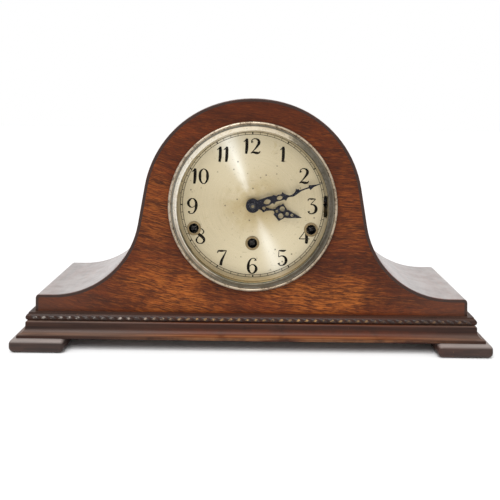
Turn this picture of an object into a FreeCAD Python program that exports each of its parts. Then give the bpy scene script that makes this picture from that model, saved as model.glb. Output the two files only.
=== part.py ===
import FreeCAD, Part
import math
import os

import Sketcher

# Tambour mantel clock with three trains, pendulum, hammers and gong rods.
# Frame: +X to the viewer's right, the dial faces -Y, +Z up.
# The origin lies on the floor under the middle of the whole clock.

V = FreeCAD.Vector

SIZES = (
    # Case
    ("case_half", 201.1, "half the width of the case over its bent skin"),
    ("case_depth", 110.0, "depth of the case from front to back"),
    ("case_height", 200.0, "top of the hump above the floor of the case"),
    ("shoulder_height", 15.4, "flat shoulder above the floor of the case"),
    ("skin", 3.0, "thickness of the bent skin"),
    ("board", 8.0, "thickness of the front and back panels"),
    ("crown_radius", 111.0, "radius of the top of the hump"),
    ("crown_angle", 17.8, "half the angle that the crown arc covers"),
    ("haunch_radius", 98.5, "radius of the sides of the hump"),
    ("flank_angle", 9.4, "lean of the straight flank"),
    ("sweep_radius", 78.7, "radius of the sweep into the shoulder"),
    ("end_radius", 4.0, "bend of the skin at the ends"),
    ("skin_round", 1.1, "rounding of the skin's front edge"),
    # Mouldings and feet
    ("foot_height", 11.9, "height of the runner feet"),
    ("foot_reach", 18.0, "feet ahead of the case front and beside its ends"),
    ("foot_width", 49.6, "width of one runner foot"),
    ("foot_top_round", 4.0, "round on the upper edges of a foot"),
    ("foot_low_round", 5.2, "round on the lower edges of a foot"),
    ("foot_corner_round", 3.0, "round on the upright corners of a foot"),
    ("plinth_height", 13.7, "height of the plinth moulding"),
    ("plinth_top_reach", 5.0, "plinth moulding at its top edge"),
    ("ovolo_reach", 6.6, "plinth moulding at its ovolo"),
    ("ovolo_drop", 1.6, "height of the ovolo's round"),
    ("ovolo_flat", 4.6, "upright face under the ovolo"),
    ("ovolo_radius", 2.0, "radius of the ovolo's round"),
    ("cove_drop", 4.9, "height of the cove"),
    ("cove_radius", 6.4, "radius of the cove"),
    ("plinth_reach", 12.6, "plinth moulding at its foot"),
    ("bead_height", 7.3, "height of the bead moulding"),
    ("bead_top_reach", 4.4, "bead moulding at its top fillet"),
    ("bead_fillet", 0.9, "upright edge of the top fillet"),
    ("bead_low_reach", 4.1, "bead moulding at its undercut"),
    ("bead_radius", 3.4, "radius of the carved bead's section"),
    # Back door
    ("door_half", 86.0, "half the width of the door opening"),
    ("door_sill", 12.0, "sill of the door opening above the case floor"),
    ("door_spring", 95.0, "start of the door's arch above the case floor"),
    ("door_gap", 0.8, "gap round the door"),
    ("leaf_height", 24.0, "height of a door hinge"),
    ("leaf_width", 11.0, "width of a hinge leaf"),
    ("leaf_thick", 0.9, "thickness of a hinge leaf"),
    ("knuckle", 1.8, "radius of a door hinge knuckle"),
    ("door_pin", 0.8, "radius of the door hinge pin"),
    ("hinge_inset", 6.0, "hinge from the end of the door's straight edge"),
    ("button_length", 30.0, "length of the turn button"),
    ("button_width", 9.0, "width of the turn button"),
    ("button_thick", 2.4, "thickness of the turn button"),
    ("button_offset", 5.5, "turn button's pivot beyond the door opening"),
    ("button_height", 60.0, "turn button's pivot above the case floor"),
    ("button_tail", 6.0, "turn button behind its pivot"),
    ("screw_shank", 1.5, "radius of a screw's shank"),
    ("screw_head", 3.4, "radius of a screw's head"),
    ("head_thick", 1.6, "thickness of a screw's head"),
    ("screw_bite", 5.0, "length of a screw in wood"),
    # Dial and bezel
    ("dial_height", 100.1, "dial centre above the case floor"),
    ("dial_radius", 71.9, "radius of the dial plate"),
    ("dial_thick", 1.0, "thickness of the dial plate"),
    ("dial_depth", 6.0, "dial's face behind the case front"),
    ("dial_foot", 1.5, "radius of a dial foot"),
    ("dial_foot_side", 48.0, "dial foot beside the centre"),
    ("dial_foot_rise", 38.0, "dial foot above and below the centre"),
    ("tube_wall", 1.1, "wall of the bezel mount's tube"),
    ("tube_gap", 0.3, "gap between the dial and the mount's tube"),
    ("flange_width", 2.1, "width of the mount's flange"),
    ("flange_thick", 0.8, "thickness of the mount's flange"),
    ("bezel_gap", 0.15, "bezel ahead of its mount"),
    ("bezel_radius", 78.5, "outer radius of the bezel"),
    ("bezel_back_radius", 77.9, "outer radius at the bezel's back edge"),
    ("roll_radius", 1.5, "radius of the rolled edge"),
    ("roll_height", 4.6, "rolled edge ahead of the bezel's back"),
    ("groove_inner", 73.9, "inner radius of the groove"),
    ("groove_height", 2.8, "groove floor ahead of the bezel's back"),
    ("slope_height", 4.4, "start of the slope ahead of the bezel's back"),
    ("lip_outer", 70.8, "outer radius of the inner lip"),
    ("lip_inner", 69.8, "inner radius of the inner lip"),
    ("lip_height", 7.8, "inner lip ahead of the bezel's back"),
    ("lip_round", 0.9, "radius of the lip's round"),
    ("seat_radius", 71.1, "radius of the glass seat"),
    ("seat_height", 5.4, "glass seat ahead of the bezel's back"),
    ("bezel_bore", 71.7, "inner radius behind the glass"),
    ("glass_thick", 1.6, "thickness of the glass"),
    ("glass_rim", 69.5, "radius where the glass begins to rise"),
    ("glass_rise", 7.3, "rise of the glass at its middle"),
    ("glass_gap", 0.1, "gap round the glass"),
    ("bezel_hinge_side", 77.3, "bezel hinge pin beside the dial centre"),
    ("bezel_hinge_lead", 1.7, "bezel hinge pin ahead of the case front"),
    ("bezel_knuckle", 1.5, "radius of the bezel hinge's knuckles"),
    ("bezel_pin", 0.6, "radius of the bezel hinge pin"),
    ("bezel_knuckle_half", 3.0, "half the length of the middle knuckle"),
    ("bezel_hinge_half", 8.0, "half the length of the bezel hinge"),
    ("hinge_clearance", 0.3, "room round the bezel hinge's knuckles"),
    ("pin_clearance", 0.05, "room round a turning pin"),
    ("collet_radius", 6.6, "outer radius of a winding collet"),
    ("collet_bore", 4.6, "hole of a winding collet"),
    ("collet_tube", 5.2, "outer radius of the collet behind its flange"),
    ("collet_lead", 0.8, "collet's flange ahead of the dial"),
    ("collet_tail", 0.4, "collet behind the dial"),
    ("slot_side", 68.5, "chime lever's slot beside the dial centre"),
    ("slot_drop", 1.2, "slot's middle under the dial centre"),
    ("slot_half", 10.4, "half the length of the slot"),
    ("slot_width", 3.9, "width of the slot"),
    # Hands
    ("hour_hand_length", 47.3, "length of the hour hand"),
    ("hour_hand_angle", 103.5, "hour hand clockwise from twelve"),
    ("minute_hand_length", 69.2, "length of the minute hand"),
    ("minute_hand_angle", 71.2, "minute hand clockwise from twelve"),
    ("hand_thick", 0.8, "thickness of a hand"),
    ("hour_hand_depth", 1.0, "hour hand behind the case front"),
    ("minute_hand_stand", 2.4, "minute hand ahead of the case front"),
    ("nut_radius", 2.9, "radius of the hand nut"),
    ("nut_stand", 5.0, "hand nut ahead of the case front"),
    # Movement frame
    ("plate_depth", 20.0, "front plate behind the case front"),
    ("plate_thick", 2.0, "thickness of a movement plate"),
    ("plate_gap", 30.0, "room between the plates"),
    ("plate_half", 66.0, "half the width of the plates"),
    ("plate_drop", 67.0, "plates under the dial centre"),
    ("plate_rise", 50.0, "plates above the dial centre"),
    ("plate_corner", 6.0, "corner radius of the plates"),
    ("ear_side", 71.0, "movement post beside the dial centre"),
    ("ear_rise", 41.0, "movement post above and below the centre"),
    ("ear_half", 6.0, "half the size of a plate's ear"),
    ("post_radius", 4.0, "radius of a movement post"),
    ("pillar_radius", 3.2, "radius of a plate pillar"),
    ("pillar_waist", 2.4, "radius of a pillar's middle"),
    ("pillar_inset", 6.0, "pillar from the plates' edges"),
    ("arbor", 1.5, "radius of a heavy arbor"),
    ("fine_arbor", 0.8, "radius of a fine arbor"),
    ("pivot", 1.0, "radius of a heavy pivot"),
    ("fine_pivot", 0.6, "radius of a fine pivot"),
    ("shake", 0.2, "end play of an arbor between the plates"),
    ("face_gap", 0.3, "room between faces that pass each other"),
    # Winding
    ("winding_side", 55.0, "side barrels beside the dial centre"),
    ("winding_drop", 22.9, "side barrels under the dial centre"),
    ("winding_low_drop", 36.2, "going barrel under the dial centre"),
    ("winding_arbor", 3.0, "radius of a winding arbor"),
    ("winding_square", 2.1, "half the width of a winding square"),
    ("square_depth", 7.8, "winding square behind the case front"),
    ("square_length", 8.6, "length of a winding square"),
    ("ratchet_radius", 9.4, "tip radius of a ratchet wheel"),
    ("ratchet_depth", 1.5, "depth of a ratchet tooth"),
    ("ratchet_thick", 1.8, "thickness of a ratchet wheel"),
    ("click_length", 13.0, "click's pivot from its nose"),
    ("click_angle", 62.0, "click's nose round the ratchet, from +X"),
    ("click_width", 3.6, "width of a click"),
    ("click_hub", 3.0, "radius of a click's hub"),
    ("click_thick", 1.5, "thickness of a click"),
    ("drum_radius", 21.5, "radius of a barrel's drum"),
    ("drum_length", 14.0, "length of a barrel's drum"),
    ("great_thick", 3.0, "thickness of a great wheel"),
    ("great_depth", 3.5, "great wheel behind the front plate"),
    # Teeth
    ("great_teeth", 48, "teeth of a great wheel"),
    ("great_module", 1.0, "tooth size of a great wheel"),
    ("great_pinion_teeth", 8, "leaves of the pinion that a great wheel turns"),
    ("inter_teeth", 60, "teeth of the intermediate wheel"),
    ("inter_module", 0.6, "tooth size of the intermediate wheel"),
    ("centre_pinion_teeth", 10, "leaves of the centre pinion"),
    ("centre_teeth", 84, "teeth of the centre wheel"),
    ("centre_module", 0.42, "tooth size of the centre wheel"),
    ("third_pinion_teeth", 7, "leaves of the third pinion"),
    ("third_teeth", 77, "teeth of the third wheel"),
    ("third_module", 0.4, "tooth size of the third wheel"),
    ("escape_pinion_teeth", 7, "leaves of the escape pinion"),
    ("escape_teeth", 44, "teeth of the escape wheel"),
    ("escape_radius", 10.0, "tip radius of the escape wheel"),
    ("escape_depth", 1.2, "depth of an escape tooth"),
    ("cannon_teeth", 12, "teeth of the cannon pinion"),
    ("minute_teeth", 36, "teeth of the minute wheel"),
    ("cannon_module", 0.75, "tooth size of the cannon pinion"),
    ("minute_pinion_teeth", 10, "leaves of the minute pinion"),
    ("hour_teeth", 40, "teeth of the hour wheel"),
    ("hour_module", 0.72, "tooth size of the hour wheel"),
    ("ratchet_teeth", 18, "teeth of a ratchet wheel"),
    ("wheel_thick", 1.2, "thickness of a train wheel"),
    ("window_low", 5.2, "inner radius of the windows between a wheel's arms"),
    ("wheel_rim", 2.6, "width of a wheel's rim under its teeth"),
    ("window_low_angle", 20.0, "half the angle of a window at the hub"),
    ("window_top_angle", 30.0, "half the angle of a window at the rim"),
    ("arms", 5, "arms of a wheel"),
    ("inter_wheel_lead", 7.7, "intermediate wheel ahead of the back plate"),
    ("centre_pinion_lead", 8.4, "centre pinion ahead of the back plate"),
    ("centre_wheel_lead", 3.8, "centre wheel ahead of the back plate"),
    ("third_pinion_lead", 4.6, "third pinion ahead of the back plate"),
    ("third_wheel_lead", 16.0, "third wheel ahead of the back plate"),
    ("escape_pinion_lead", 16.8, "escape pinion ahead of the back plate"),
    ("escape_wheel_lead", 9.0, "escape wheel ahead of the back plate"),
    ("escape_thick", 0.8, "thickness of the escape wheel"),
    ("escape_gap_half", 0.6, "half the gap between escape teeth"),
    ("anchor_lead", 9.4, "anchor ahead of the back plate"),
    ("pin_wheel", 14.0, "radius of the strike's pin wheel"),
    ("strike_pins", 8, "pins of the pin wheel"),
    ("strike_pin", 0.6, "radius of a pin on the pin wheel"),
    ("strike_pin_inset", 2.0, "pins from the pin wheel's edge"),
    ("pinion_length", 2.8, "length of a train pinion"),
    ("third_angle", 60.2, "third arbor's direction from the centre"),
    ("side_train_angle", 212.8, "side pinion's direction from its barrel"),
    # Motion work
    ("hour_wheel_lead", 7.4, "hour wheel's front ahead of the front plate"),
    ("minute_wheel_lead", 3.6, "minute wheel's front ahead of the front plate"),
    ("cannon_lead", 3.8, "cannon teeth's front ahead of the front plate"),
    ("centre_arbor", 1.3, "radius of the centre arbor in the motion work"),
    ("cannon_pipe", 2.0, "radius of the cannon pinion's pipe"),
    ("hour_pipe", 3.0, "radius of the hour wheel's pipe"),
    ("stud_radius", 1.2, "radius of a stud on the front plate"),
    # Escapement and pendulum
    ("anchor_height", 14.1, "anchor arbor above the escape arbor"),
    ("anchor_thick", 1.6, "thickness of the anchor"),
    ("pallet_angle", 46.0, "pallet's place round the escape wheel from the top"),
    ("pallet_gap", 0.95, "pallets clear of the escape wheel's tips"),
    ("pendulum_length", 95.5, "suspension to the middle of the bob"),
    ("bob_radius", 11.0, "radius of the pendulum bob"),
    ("bob_thick", 6.0, "thickness of the pendulum bob"),
    ("rod_width", 2.4, "width of the pendulum rod"),
    ("rod_thick", 1.0, "thickness of the pendulum rod"),
    ("rod_lead", 6.0, "pendulum rod behind the back plate"),
    ("crutch_length", 27.0, "length of the crutch"),
    ("eye_radius", 2.4, "radius of the pendulum rod's eye"),
    ("suspension_pin", 0.9, "radius of the suspension pin"),
    ("cock_half", 4.5, "half the width of the suspension cock"),
    ("cock_rise", 6.5, "suspension cock above its pin"),
    # Chime
    ("rod_pitch", 5.5, "distance between gong rods"),
    ("first_rod", 8.0, "first gong rod behind the back plate"),
    ("gong_rod", 1.4, "radius of a gong rod"),
    ("gong_height", 17.1, "gong rods above the case floor"),
    ("gong_block_side", 98.0, "gong block beside the middle of the clock"),
    ("gong_block_width", 14.0, "width of the gong block"),
    ("gong_block_top", 25.0, "gong block above the case floor"),
    ("gong_margin", 5.0, "gong block beyond the outer rods"),
    ("gong_flange", 6.0, "flange of the gong block"),
    ("gong_flange_thick", 4.0, "thickness of the block's flange"),
    ("longest_rod", 222.0, "free length of the longest gong rod"),
    ("rod_step", 15.0, "each gong rod shorter than the one before"),
    ("pin_drum", 8.0, "radius of the chime drum"),
    ("drum_pin_reach", 1.4, "pins proud of the chime drum"),
    ("drum_pin", 0.5, "radius of a chime pin"),
    ("hammer_side", 50.0, "hammer arbor beside the middle of the clock"),
    ("hammer_drop", 59.0, "hammer arbor under the dial centre"),
    ("hammer_hub", 3.0, "radius of a hammer's hub"),
    ("hammer_reach", 34.0, "hammer head beside its arbor"),
    ("hammer_fall", 15.5, "hammer head under its arbor"),
    ("hammer_strip", 1.2, "half the width of a hammer's arm"),
    ("hammer_thick", 1.6, "thickness of a hammer's arm"),
    ("hammer_head", 2.3, "radius of a hammer's head"),
    ("hammer_head_length", 9.0, "length of a hammer's head"),
    ("hammer_shaft", 1.4, "radius of the hammer arbor"),
    ("tail_gap", 0.6, "hammer tail clear of the drum's pins"),
    # Chime lever
    ("lever_pivot_side", 38.0, "chime lever's pivot beside the centre"),
    ("lever_depth", 10.5, "chime lever behind the case front"),
    ("lever_thick", 0.9, "thickness of the chime lever"),
    ("lever_width", 4.0, "width of the chime lever"),
    ("lever_hub", 2.8, "radius of the chime lever's hub"),
    ("lever_angle", 11.0, "chime lever above level at rest"),
    ("lever_tip", 0.8, "radius of the chime lever's tip"),
    ("lever_stand", 2.4, "lever's tip ahead of the dial"),
    ("overrun", 1.0, "length by which a cut passes its piece"),
)

# Tooth shapes, as shares of the tooth size: height over and under the pitch
# circle, and half the width of the gap at its floor and at the tips
WHEEL_TOOTH_SHARES = (1.1, 1.1, 0.75, 1.3)
PINION_TOOTH_SHARES = (0.7, 1.4, 0.5, 1.2)

doc = FreeCAD.newDocument("TambourClock")
sheet = doc.addObject("Spreadsheet::Sheet", "Sizes")
for row, (alias, number, note) in enumerate(SIZES, 1):
    sheet.set(f"A{row}", note)
    sheet.set(f"B{row}", str(number))
    sheet.setAlias(f"B{row}", alias)
doc.recompute()


class Size:
    """A size together with the sheet expression that gives it."""

    def __init__(self, value, text):
        self.value = value
        self.text = text

    def __add__(self, other):
        other = known(other)
        return Size(self.value + other.value, f"({self.text} + {other.text})")

    def __radd__(self, other):
        return known(other) + self

    def __sub__(self, other):
        other = known(other)
        return Size(self.value - other.value, f"({self.text} - {other.text})")

    def __rsub__(self, other):
        return known(other) - self

    def __mul__(self, other):
        other = known(other)
        return Size(self.value * other.value, f"({self.text} * {other.text})")

    def __rmul__(self, other):
        return known(other) * self

    def __truediv__(self, other):
        other = known(other)
        return Size(self.value / other.value, f"({self.text} / {other.text})")

    def __rtruediv__(self, other):
        return known(other) / self

    def __neg__(self):
        return Size(-self.value, f"(-1 * {self.text})")


def known(number):
    """A plain number as a Size; a Size stays as it is."""
    if isinstance(number, Size):
        return number
    return Size(float(number), f"({float(number)!r})")


class Sheet:
    """The driving dimensions by their names."""

    def __getattr__(self, alias):
        return Size(float(sheet.get(alias)), f"Sizes.{alias}")


def root(area):
    return Size(math.sqrt(area.value), f"sqrt({area.text})")


def sine(angle):
    angle = known(angle)
    return Size(math.sin(math.radians(angle.value)), f"sin({angle.text})")


def cosine(angle):
    angle = known(angle)
    return Size(math.cos(math.radians(angle.value)), f"cos({angle.text})")


def direction(x, y):
    """Angle of the way (x, y) in degrees."""
    x, y = known(x), known(y)
    angle = math.degrees(math.atan2(y.value, x.value))
    return Size(angle, f"(atan2({y.text}; {x.text}) / 1 deg)")


def length(x, y):
    return root(x * x + y * y)


s = Sheet()

# Places shared by several pieces, worked out from the driving dimensions
BACK_REACH = s.button_thick + s.head_thick
CASE_FRONT = s.foot_reach - (s.foot_reach + s.case_depth + BACK_REACH) / 2
CASE_BACK = CASE_FRONT + s.case_depth
CASE_FLOOR = s.foot_height + s.plinth_height + s.bead_height
DIAL_Z = CASE_FLOOR + s.dial_height
DIAL_FRONT = CASE_FRONT + s.dial_depth
TUBE_INNER = s.dial_radius + s.tube_gap
TUBE_OUTER = TUBE_INNER + s.tube_wall
FRONT_PLATE = CASE_FRONT + s.plate_depth
INSIDE = FRONT_PLATE + s.plate_thick
BACK_PLATE = INSIDE + s.plate_gap
BEHIND = BACK_PLATE + s.plate_thick
PANEL_BACK = CASE_FRONT + s.board

GREAT_DISTANCE = s.great_module * (s.great_teeth + s.great_pinion_teeth) / 2
INTER_DISTANCE = s.inter_module * (s.inter_teeth + s.centre_pinion_teeth) / 2
THIRD_DISTANCE = s.centre_module * (s.centre_teeth + s.third_pinion_teeth) / 2
ESCAPE_DISTANCE = s.third_module * (s.third_teeth + s.escape_pinion_teeth) / 2
MINUTE_DISTANCE = s.cannon_module * (s.cannon_teeth + s.minute_teeth) / 2

# Arbors across the dial, as (x, z)
CENTRE = (known(0), DIAL_Z)
GOING_AT = (known(0), DIAL_Z - s.winding_low_drop)
STRIKE_AT = (-s.winding_side, DIAL_Z - s.winding_drop)
CHIME_AT = (s.winding_side, DIAL_Z - s.winding_drop)
INTER_RISE = (
    GREAT_DISTANCE * GREAT_DISTANCE
    - INTER_DISTANCE * INTER_DISTANCE
    + s.winding_low_drop * s.winding_low_drop
) / (s.winding_low_drop * 2)
INTER_SIDE = root(GREAT_DISTANCE * GREAT_DISTANCE - INTER_RISE * INTER_RISE)
INTER_AT = (INTER_SIDE, GOING_AT[1] + INTER_RISE)
THIRD_AT = (
    THIRD_DISTANCE * cosine(s.third_angle),
    DIAL_Z + THIRD_DISTANCE * sine(s.third_angle),
)
ESCAPE_RISE = root(ESCAPE_DISTANCE * ESCAPE_DISTANCE - THIRD_AT[0] * THIRD_AT[0])
ESCAPE_AT = (known(0), THIRD_AT[1] + ESCAPE_RISE)
ANCHOR_AT = (known(0), ESCAPE_AT[1] + s.anchor_height)
MINUTE_AT = (-MINUTE_DISTANCE, DIAL_Z)
CHIME_DRUM_AT = (
    CHIME_AT[0] + GREAT_DISTANCE * cosine(s.side_train_angle),
    CHIME_AT[1] + GREAT_DISTANCE * sine(s.side_train_angle),
)
STRIKE_WHEEL_AT = (-CHIME_DRUM_AT[0], CHIME_DRUM_AT[1])
HAMMER_AT = (s.hammer_side, DIAL_Z - s.hammer_drop)
LEVER_AT = (s.lever_pivot_side, DIAL_Z - s.slot_drop)
GONG_Z = CASE_FLOOR + s.gong_height
ROD_COUNT = 4
ROD_ROWS = [BEHIND + s.first_rod + s.rod_pitch * i for i in range(ROD_COUNT)]
PINS_PER_ROW = 5
ROW_LAG_DEGREES = 18


class Loop:
    """A closed outline of straight runs and arcs, drawn from point to point."""

    def __init__(self, x, y):
        self.points = [(known(x), known(y))]
        self.bends = []

    def line(self, x, y):
        self.points.append((known(x), known(y)))
        self.bends.append(None)
        return self

    def arc(self, x, y, radius, turn):
        """An arc of under half a circle; turn is 1 to the left, -1 to the right."""
        self.points.append((known(x), known(y)))
        self.bends.append((known(radius), turn))
        return self

    def close(self, radius=None, turn=None):
        self.bends.append(None if radius is None else (known(radius), turn))
        return self


class Ring:
    """A circle in a sketch."""

    def __init__(self, x, y, radius):
        self.x, self.y, self.radius = known(x), known(y), known(radius)


def bind(sketch, kind, where, size):
    index = sketch.addConstraint(Sketcher.Constraint(kind, *where, size.value))
    if "Sizes." in size.text:
        sketch.setExpression(f"Constraints[{index}]", size.text)


def arc_between(start, end, radius, turn):
    """A circle's arc from start to end, with the geometry's own end numbers."""
    chord = end - start
    rise = math.sqrt(radius * radius - chord.Length * chord.Length / 4)
    left = V(-chord.y, chord.x, 0).normalize()
    middle = (start + end) / 2 + left * rise * turn
    first, last = (start, end) if turn > 0 else (end, start)
    angles = [math.atan2(p.y - middle.y, p.x - middle.x) for p in (first, last)]
    circle = Part.Circle(middle, V(0, 0, 1), radius)
    return Part.ArcOfCircle(circle, *angles), (1, 2) if turn > 0 else (2, 1)


def draw(sketch, outline):
    """Draws one outline and ties every point of it to the sheet."""
    if isinstance(outline, Ring):
        middle = V(outline.x.value, outline.y.value, 0)
        circle = Part.Circle(middle, V(0, 0, 1), outline.radius.value)
        index = sketch.addGeometry(circle, False)
        bind(sketch, "DistanceX", (-1, 1, index, 3), outline.x)
        bind(sketch, "DistanceY", (-1, 1, index, 3), outline.y)
        bind(sketch, "Radius", (index,), outline.radius)
        return
    if len(outline.bends) < len(outline.points):
        outline.close()
    ends = []
    count = len(outline.points)
    for i, bend in enumerate(outline.bends):
        start = V(*[c.value for c in outline.points[i]], 0)
        end = V(*[c.value for c in outline.points[(i + 1) % count]], 0)
        if bend is None:
            index = sketch.addGeometry(Part.LineSegment(start, end), False)
            ends.append((index, 1, 2))
        else:
            shape, order = arc_between(start, end, bend[0].value, bend[1])
            index = sketch.addGeometry(shape, False)
            ends.append((index, *order))
    for i, (index, first, last) in enumerate(ends):
        following, start, _ = ends[(i + 1) % count]
        joint = Sketcher.Constraint("Coincident", index, last, following, start)
        sketch.addConstraint(joint)
        x, y = outline.points[i]
        bind(sketch, "DistanceX", (-1, 1, index, first), x)
        bind(sketch, "DistanceY", (-1, 1, index, first), y)
        if outline.bends[i] is not None:
            bind(sketch, "Radius", (index,), outline.bends[i][0])


def sketch_on(body, role, at, outlines):
    """A sketch on one of the body's own planes, moved along that plane's axis."""
    at = known(at)
    sketch = body.newObject("Sketcher::SketchObject", f"{body.Name}_sketch")
    for feature in body.Origin.OriginFeatures:
        if feature.Role == role:
            sketch.AttachmentSupport = [(feature, "")]
    sketch.MapMode = "FlatFace"
    offset = -at if role == "XZ_Plane" else at
    place = FreeCAD.Placement(V(0, 0, offset.value), FreeCAD.Rotation())
    sketch.AttachmentOffset = place
    if "Sizes." in offset.text:
        sketch.setExpression(".AttachmentOffset.Base.z", offset.text)
    for outline in outlines:
        draw(sketch, outline)
    return sketch


def new_body(label, at=(0, 0), turn=None, y=0):
    """A body at (x, z) across the dial, turned anticlockwise as seen in front."""
    body = doc.addObject("PartDesign::Body", label)
    body.Label = label
    x, z = known(at[0]), known(at[1])
    y = known(y)
    angle = known(0 if turn is None else turn)
    rotation = FreeCAD.Rotation(V(0, -1, 0), angle.value)
    body.Placement = FreeCAD.Placement(V(x.value, y.value, z.value), rotation)
    for axis, size in (("x", x), ("y", y), ("z", z)):
        if "Sizes." in size.text:
            body.setExpression(f".Placement.Base.{axis}", size.text)
    if "Sizes." in angle.text:
        text = f"{angle.text} * 1 deg"
        body.setExpression(".Placement.Rotation.Angle", text)
    return body


def extrude(body, kind, sketch, depth):
    depth = known(depth)
    feature = body.newObject(f"PartDesign::{kind}", f"{body.Name}_{kind.lower()}")
    feature.Profile = sketch
    feature.Length = depth.value
    feature.setExpression("Length", depth.text)
    sketch.Visibility = False
    return feature


def slab(body, outlines, front, thick):
    """Adds a flat piece across the dial from front backwards."""
    sketch = sketch_on(body, "XZ_Plane", front + thick, outlines)
    return extrude(body, "Pad", sketch, thick)


def cut(body, outlines, front, deep):
    """Cuts backwards from front, across the dial."""
    sketch = sketch_on(body, "XZ_Plane", front, outlines)
    return extrude(body, "Pocket", sketch, deep)


def turned(body, outline):
    """A turned form about the body's own Y axis from (radius, y) points."""
    sketch = sketch_on(body, "XY_Plane", 0, [outline])
    feature = body.newObject("PartDesign::Revolution", f"{body.Name}_turned")
    feature.Profile = sketch
    feature.ReferenceAxis = (sketch, ["V_Axis"])
    feature.Angle = 360
    sketch.Visibility = False
    return feature


def around(body, feature, count):
    """Repeats a feature round the body's own Y axis."""
    count = known(count)
    pattern = body.newObject("PartDesign::PolarPattern", f"{body.Name}_pattern")
    pattern.Originals = [feature]
    pattern.Axis = (feature.Profile[0], ["N_Axis"])
    pattern.Angle = 360
    pattern.Occurrences = int(count.value)
    pattern.setExpression("Occurrences", count.text)
    body.Tip = pattern
    return pattern


def steps(*rings):
    """A stepped arbor's half outline from (radius, front, back) rings."""
    outline = Loop(0, rings[0][1])
    for radius, front, back in rings:
        outline.line(radius, front)
        outline.line(radius, back)
    return outline.line(0, rings[-1][2])


def rectangle(x0, y0, x1, y1):
    return Loop(x0, y0).line(x1, y0).line(x1, y1).line(x0, y1)


def rounded(x0, y0, x1, y1, radius):
    """A rectangle with round corners."""
    outline = Loop(x0 + radius, y0).line(x1 - radius, y0)
    outline.arc(x1, y0 + radius, radius, 1).line(x1, y1 - radius)
    outline.arc(x1 - radius, y1, radius, 1).line(x0 + radius, y1)
    outline.arc(x0, y1 - radius, radius, 1).line(x0, y0 + radius)
    return outline.close(radius, 1)


def teeth(body, count, module, shares, front, thick):
    """A toothed rim: a disc with straight-sided gaps cut round it."""
    over, under, floor_half, tip_half = shares
    tip = module * (count / 2 + over)
    floor = module * (count / 2 - under)
    reach = tip + module * over
    widening = (tip_half - floor_half) / (over + under)
    outer_half = floor_half + widening * (over + under + over)
    slab(body, [Ring(0, 0, tip)], front, thick)
    gap = Loop(-module * floor_half, floor).line(module * floor_half, floor)
    gap.line(module * outer_half, reach).line(-module * outer_half, reach)
    around(body, cut(body, [gap], front, thick), count)


def mesh_turn(centre_a, teeth_a, turn_a, centre_b, teeth_b):
    """Turn of wheel b about its own axis that puts its gaps to a's teeth.

    A toothed rim has a gap, not a tooth, straight up at turn 0.
    """
    way = direction(centre_b[0] - centre_a[0], centre_b[1] - centre_a[1])
    half_a = 180 / known(teeth_a)
    tooth_a = known(90) + half_a + turn_a
    tooth_b = way + 180 + (known(180) - known(teeth_a) * (tooth_a - way)) / teeth_b
    return tooth_b - 90 - 180 / known(teeth_b)


def windows(body, rim, front, thick):
    """Crossings of a wheel: windows between its hub, rim and arms."""
    low, top = s.window_low, rim - s.wheel_rim
    low_x = low * sine(s.window_low_angle)
    low_z = low * cosine(s.window_low_angle)
    top_x = top * sine(s.window_top_angle)
    top_z = top * cosine(s.window_top_angle)
    window = Loop(-low_x, low_z).line(low_x, low_z).line(top_x, top_z)
    window.arc(-top_x, top_z, top, 1)
    around(body, cut(body, [window], front, thick), s.arms)


def finish(item, label):
    """Gives an object its node name and lists it as a finished piece."""
    item.Label = label
    PIECES.append(item)
    return item


def primitive(kind, name, sizes, at=(0, 0, 0), rotation=None):
    """A Part primitive with its sizes and place tied to the sheet."""
    item = doc.addObject(f"Part::{kind}", name)
    for prop, size in sizes.items():
        size = known(size)
        setattr(item, prop, size.value)
        item.setExpression(prop, size.text)
    place = [known(c) for c in at]
    turned_by = rotation or FreeCAD.Rotation()
    item.Placement = FreeCAD.Placement(V(*[c.value for c in place]), turned_by)
    for axis, size in zip("xyz", place):
        if "Sizes." in size.text:
            item.setExpression(f".Placement.Base.{axis}", size.text)
    return item


def box(name, low, high):
    sizes = [known(b) - known(a) for a, b in zip(low, high)]
    props = dict(zip(("Length", "Width", "Height"), sizes))
    return primitive("Box", name, props, low)


def post(name, radius, height, foot, rotation=None):
    """A cylinder standing on foot, along Z unless it is turned."""
    sizes = {"Radius": radius, "Height": height}
    return primitive("Cylinder", name, sizes, foot, rotation)


ALONG_X = FreeCAD.Rotation(V(0, 1, 0), 90)
ALONG_Y = FreeCAD.Rotation(V(1, 0, 0), -90)


def fuse(name, items):
    item = doc.addObject("Part::MultiFuse", name)
    item.Shapes = items
    return item


def minus(name, base, tool):
    item = doc.addObject("Part::Cut", name)
    item.Base = base
    item.Tool = tool
    return item


def group(name, items):
    item = doc.addObject("Part::Compound", name)
    item.Links = items
    return item


def soften(body, base, edges, radius):
    """Rounds the edges of a feature that the test picks."""
    doc.recompute()
    names = [f"Edge{i}" for i, e in enumerate(base.Shape.Edges, 1) if edges(e)]
    feature = body.newObject("PartDesign::Fillet", f"{body.Name}_round")
    feature.Base = (base, names)
    feature.Radius = radius.value
    feature.setExpression("Radius", radius.text)
    return feature


PIECES = []

# Case


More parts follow.
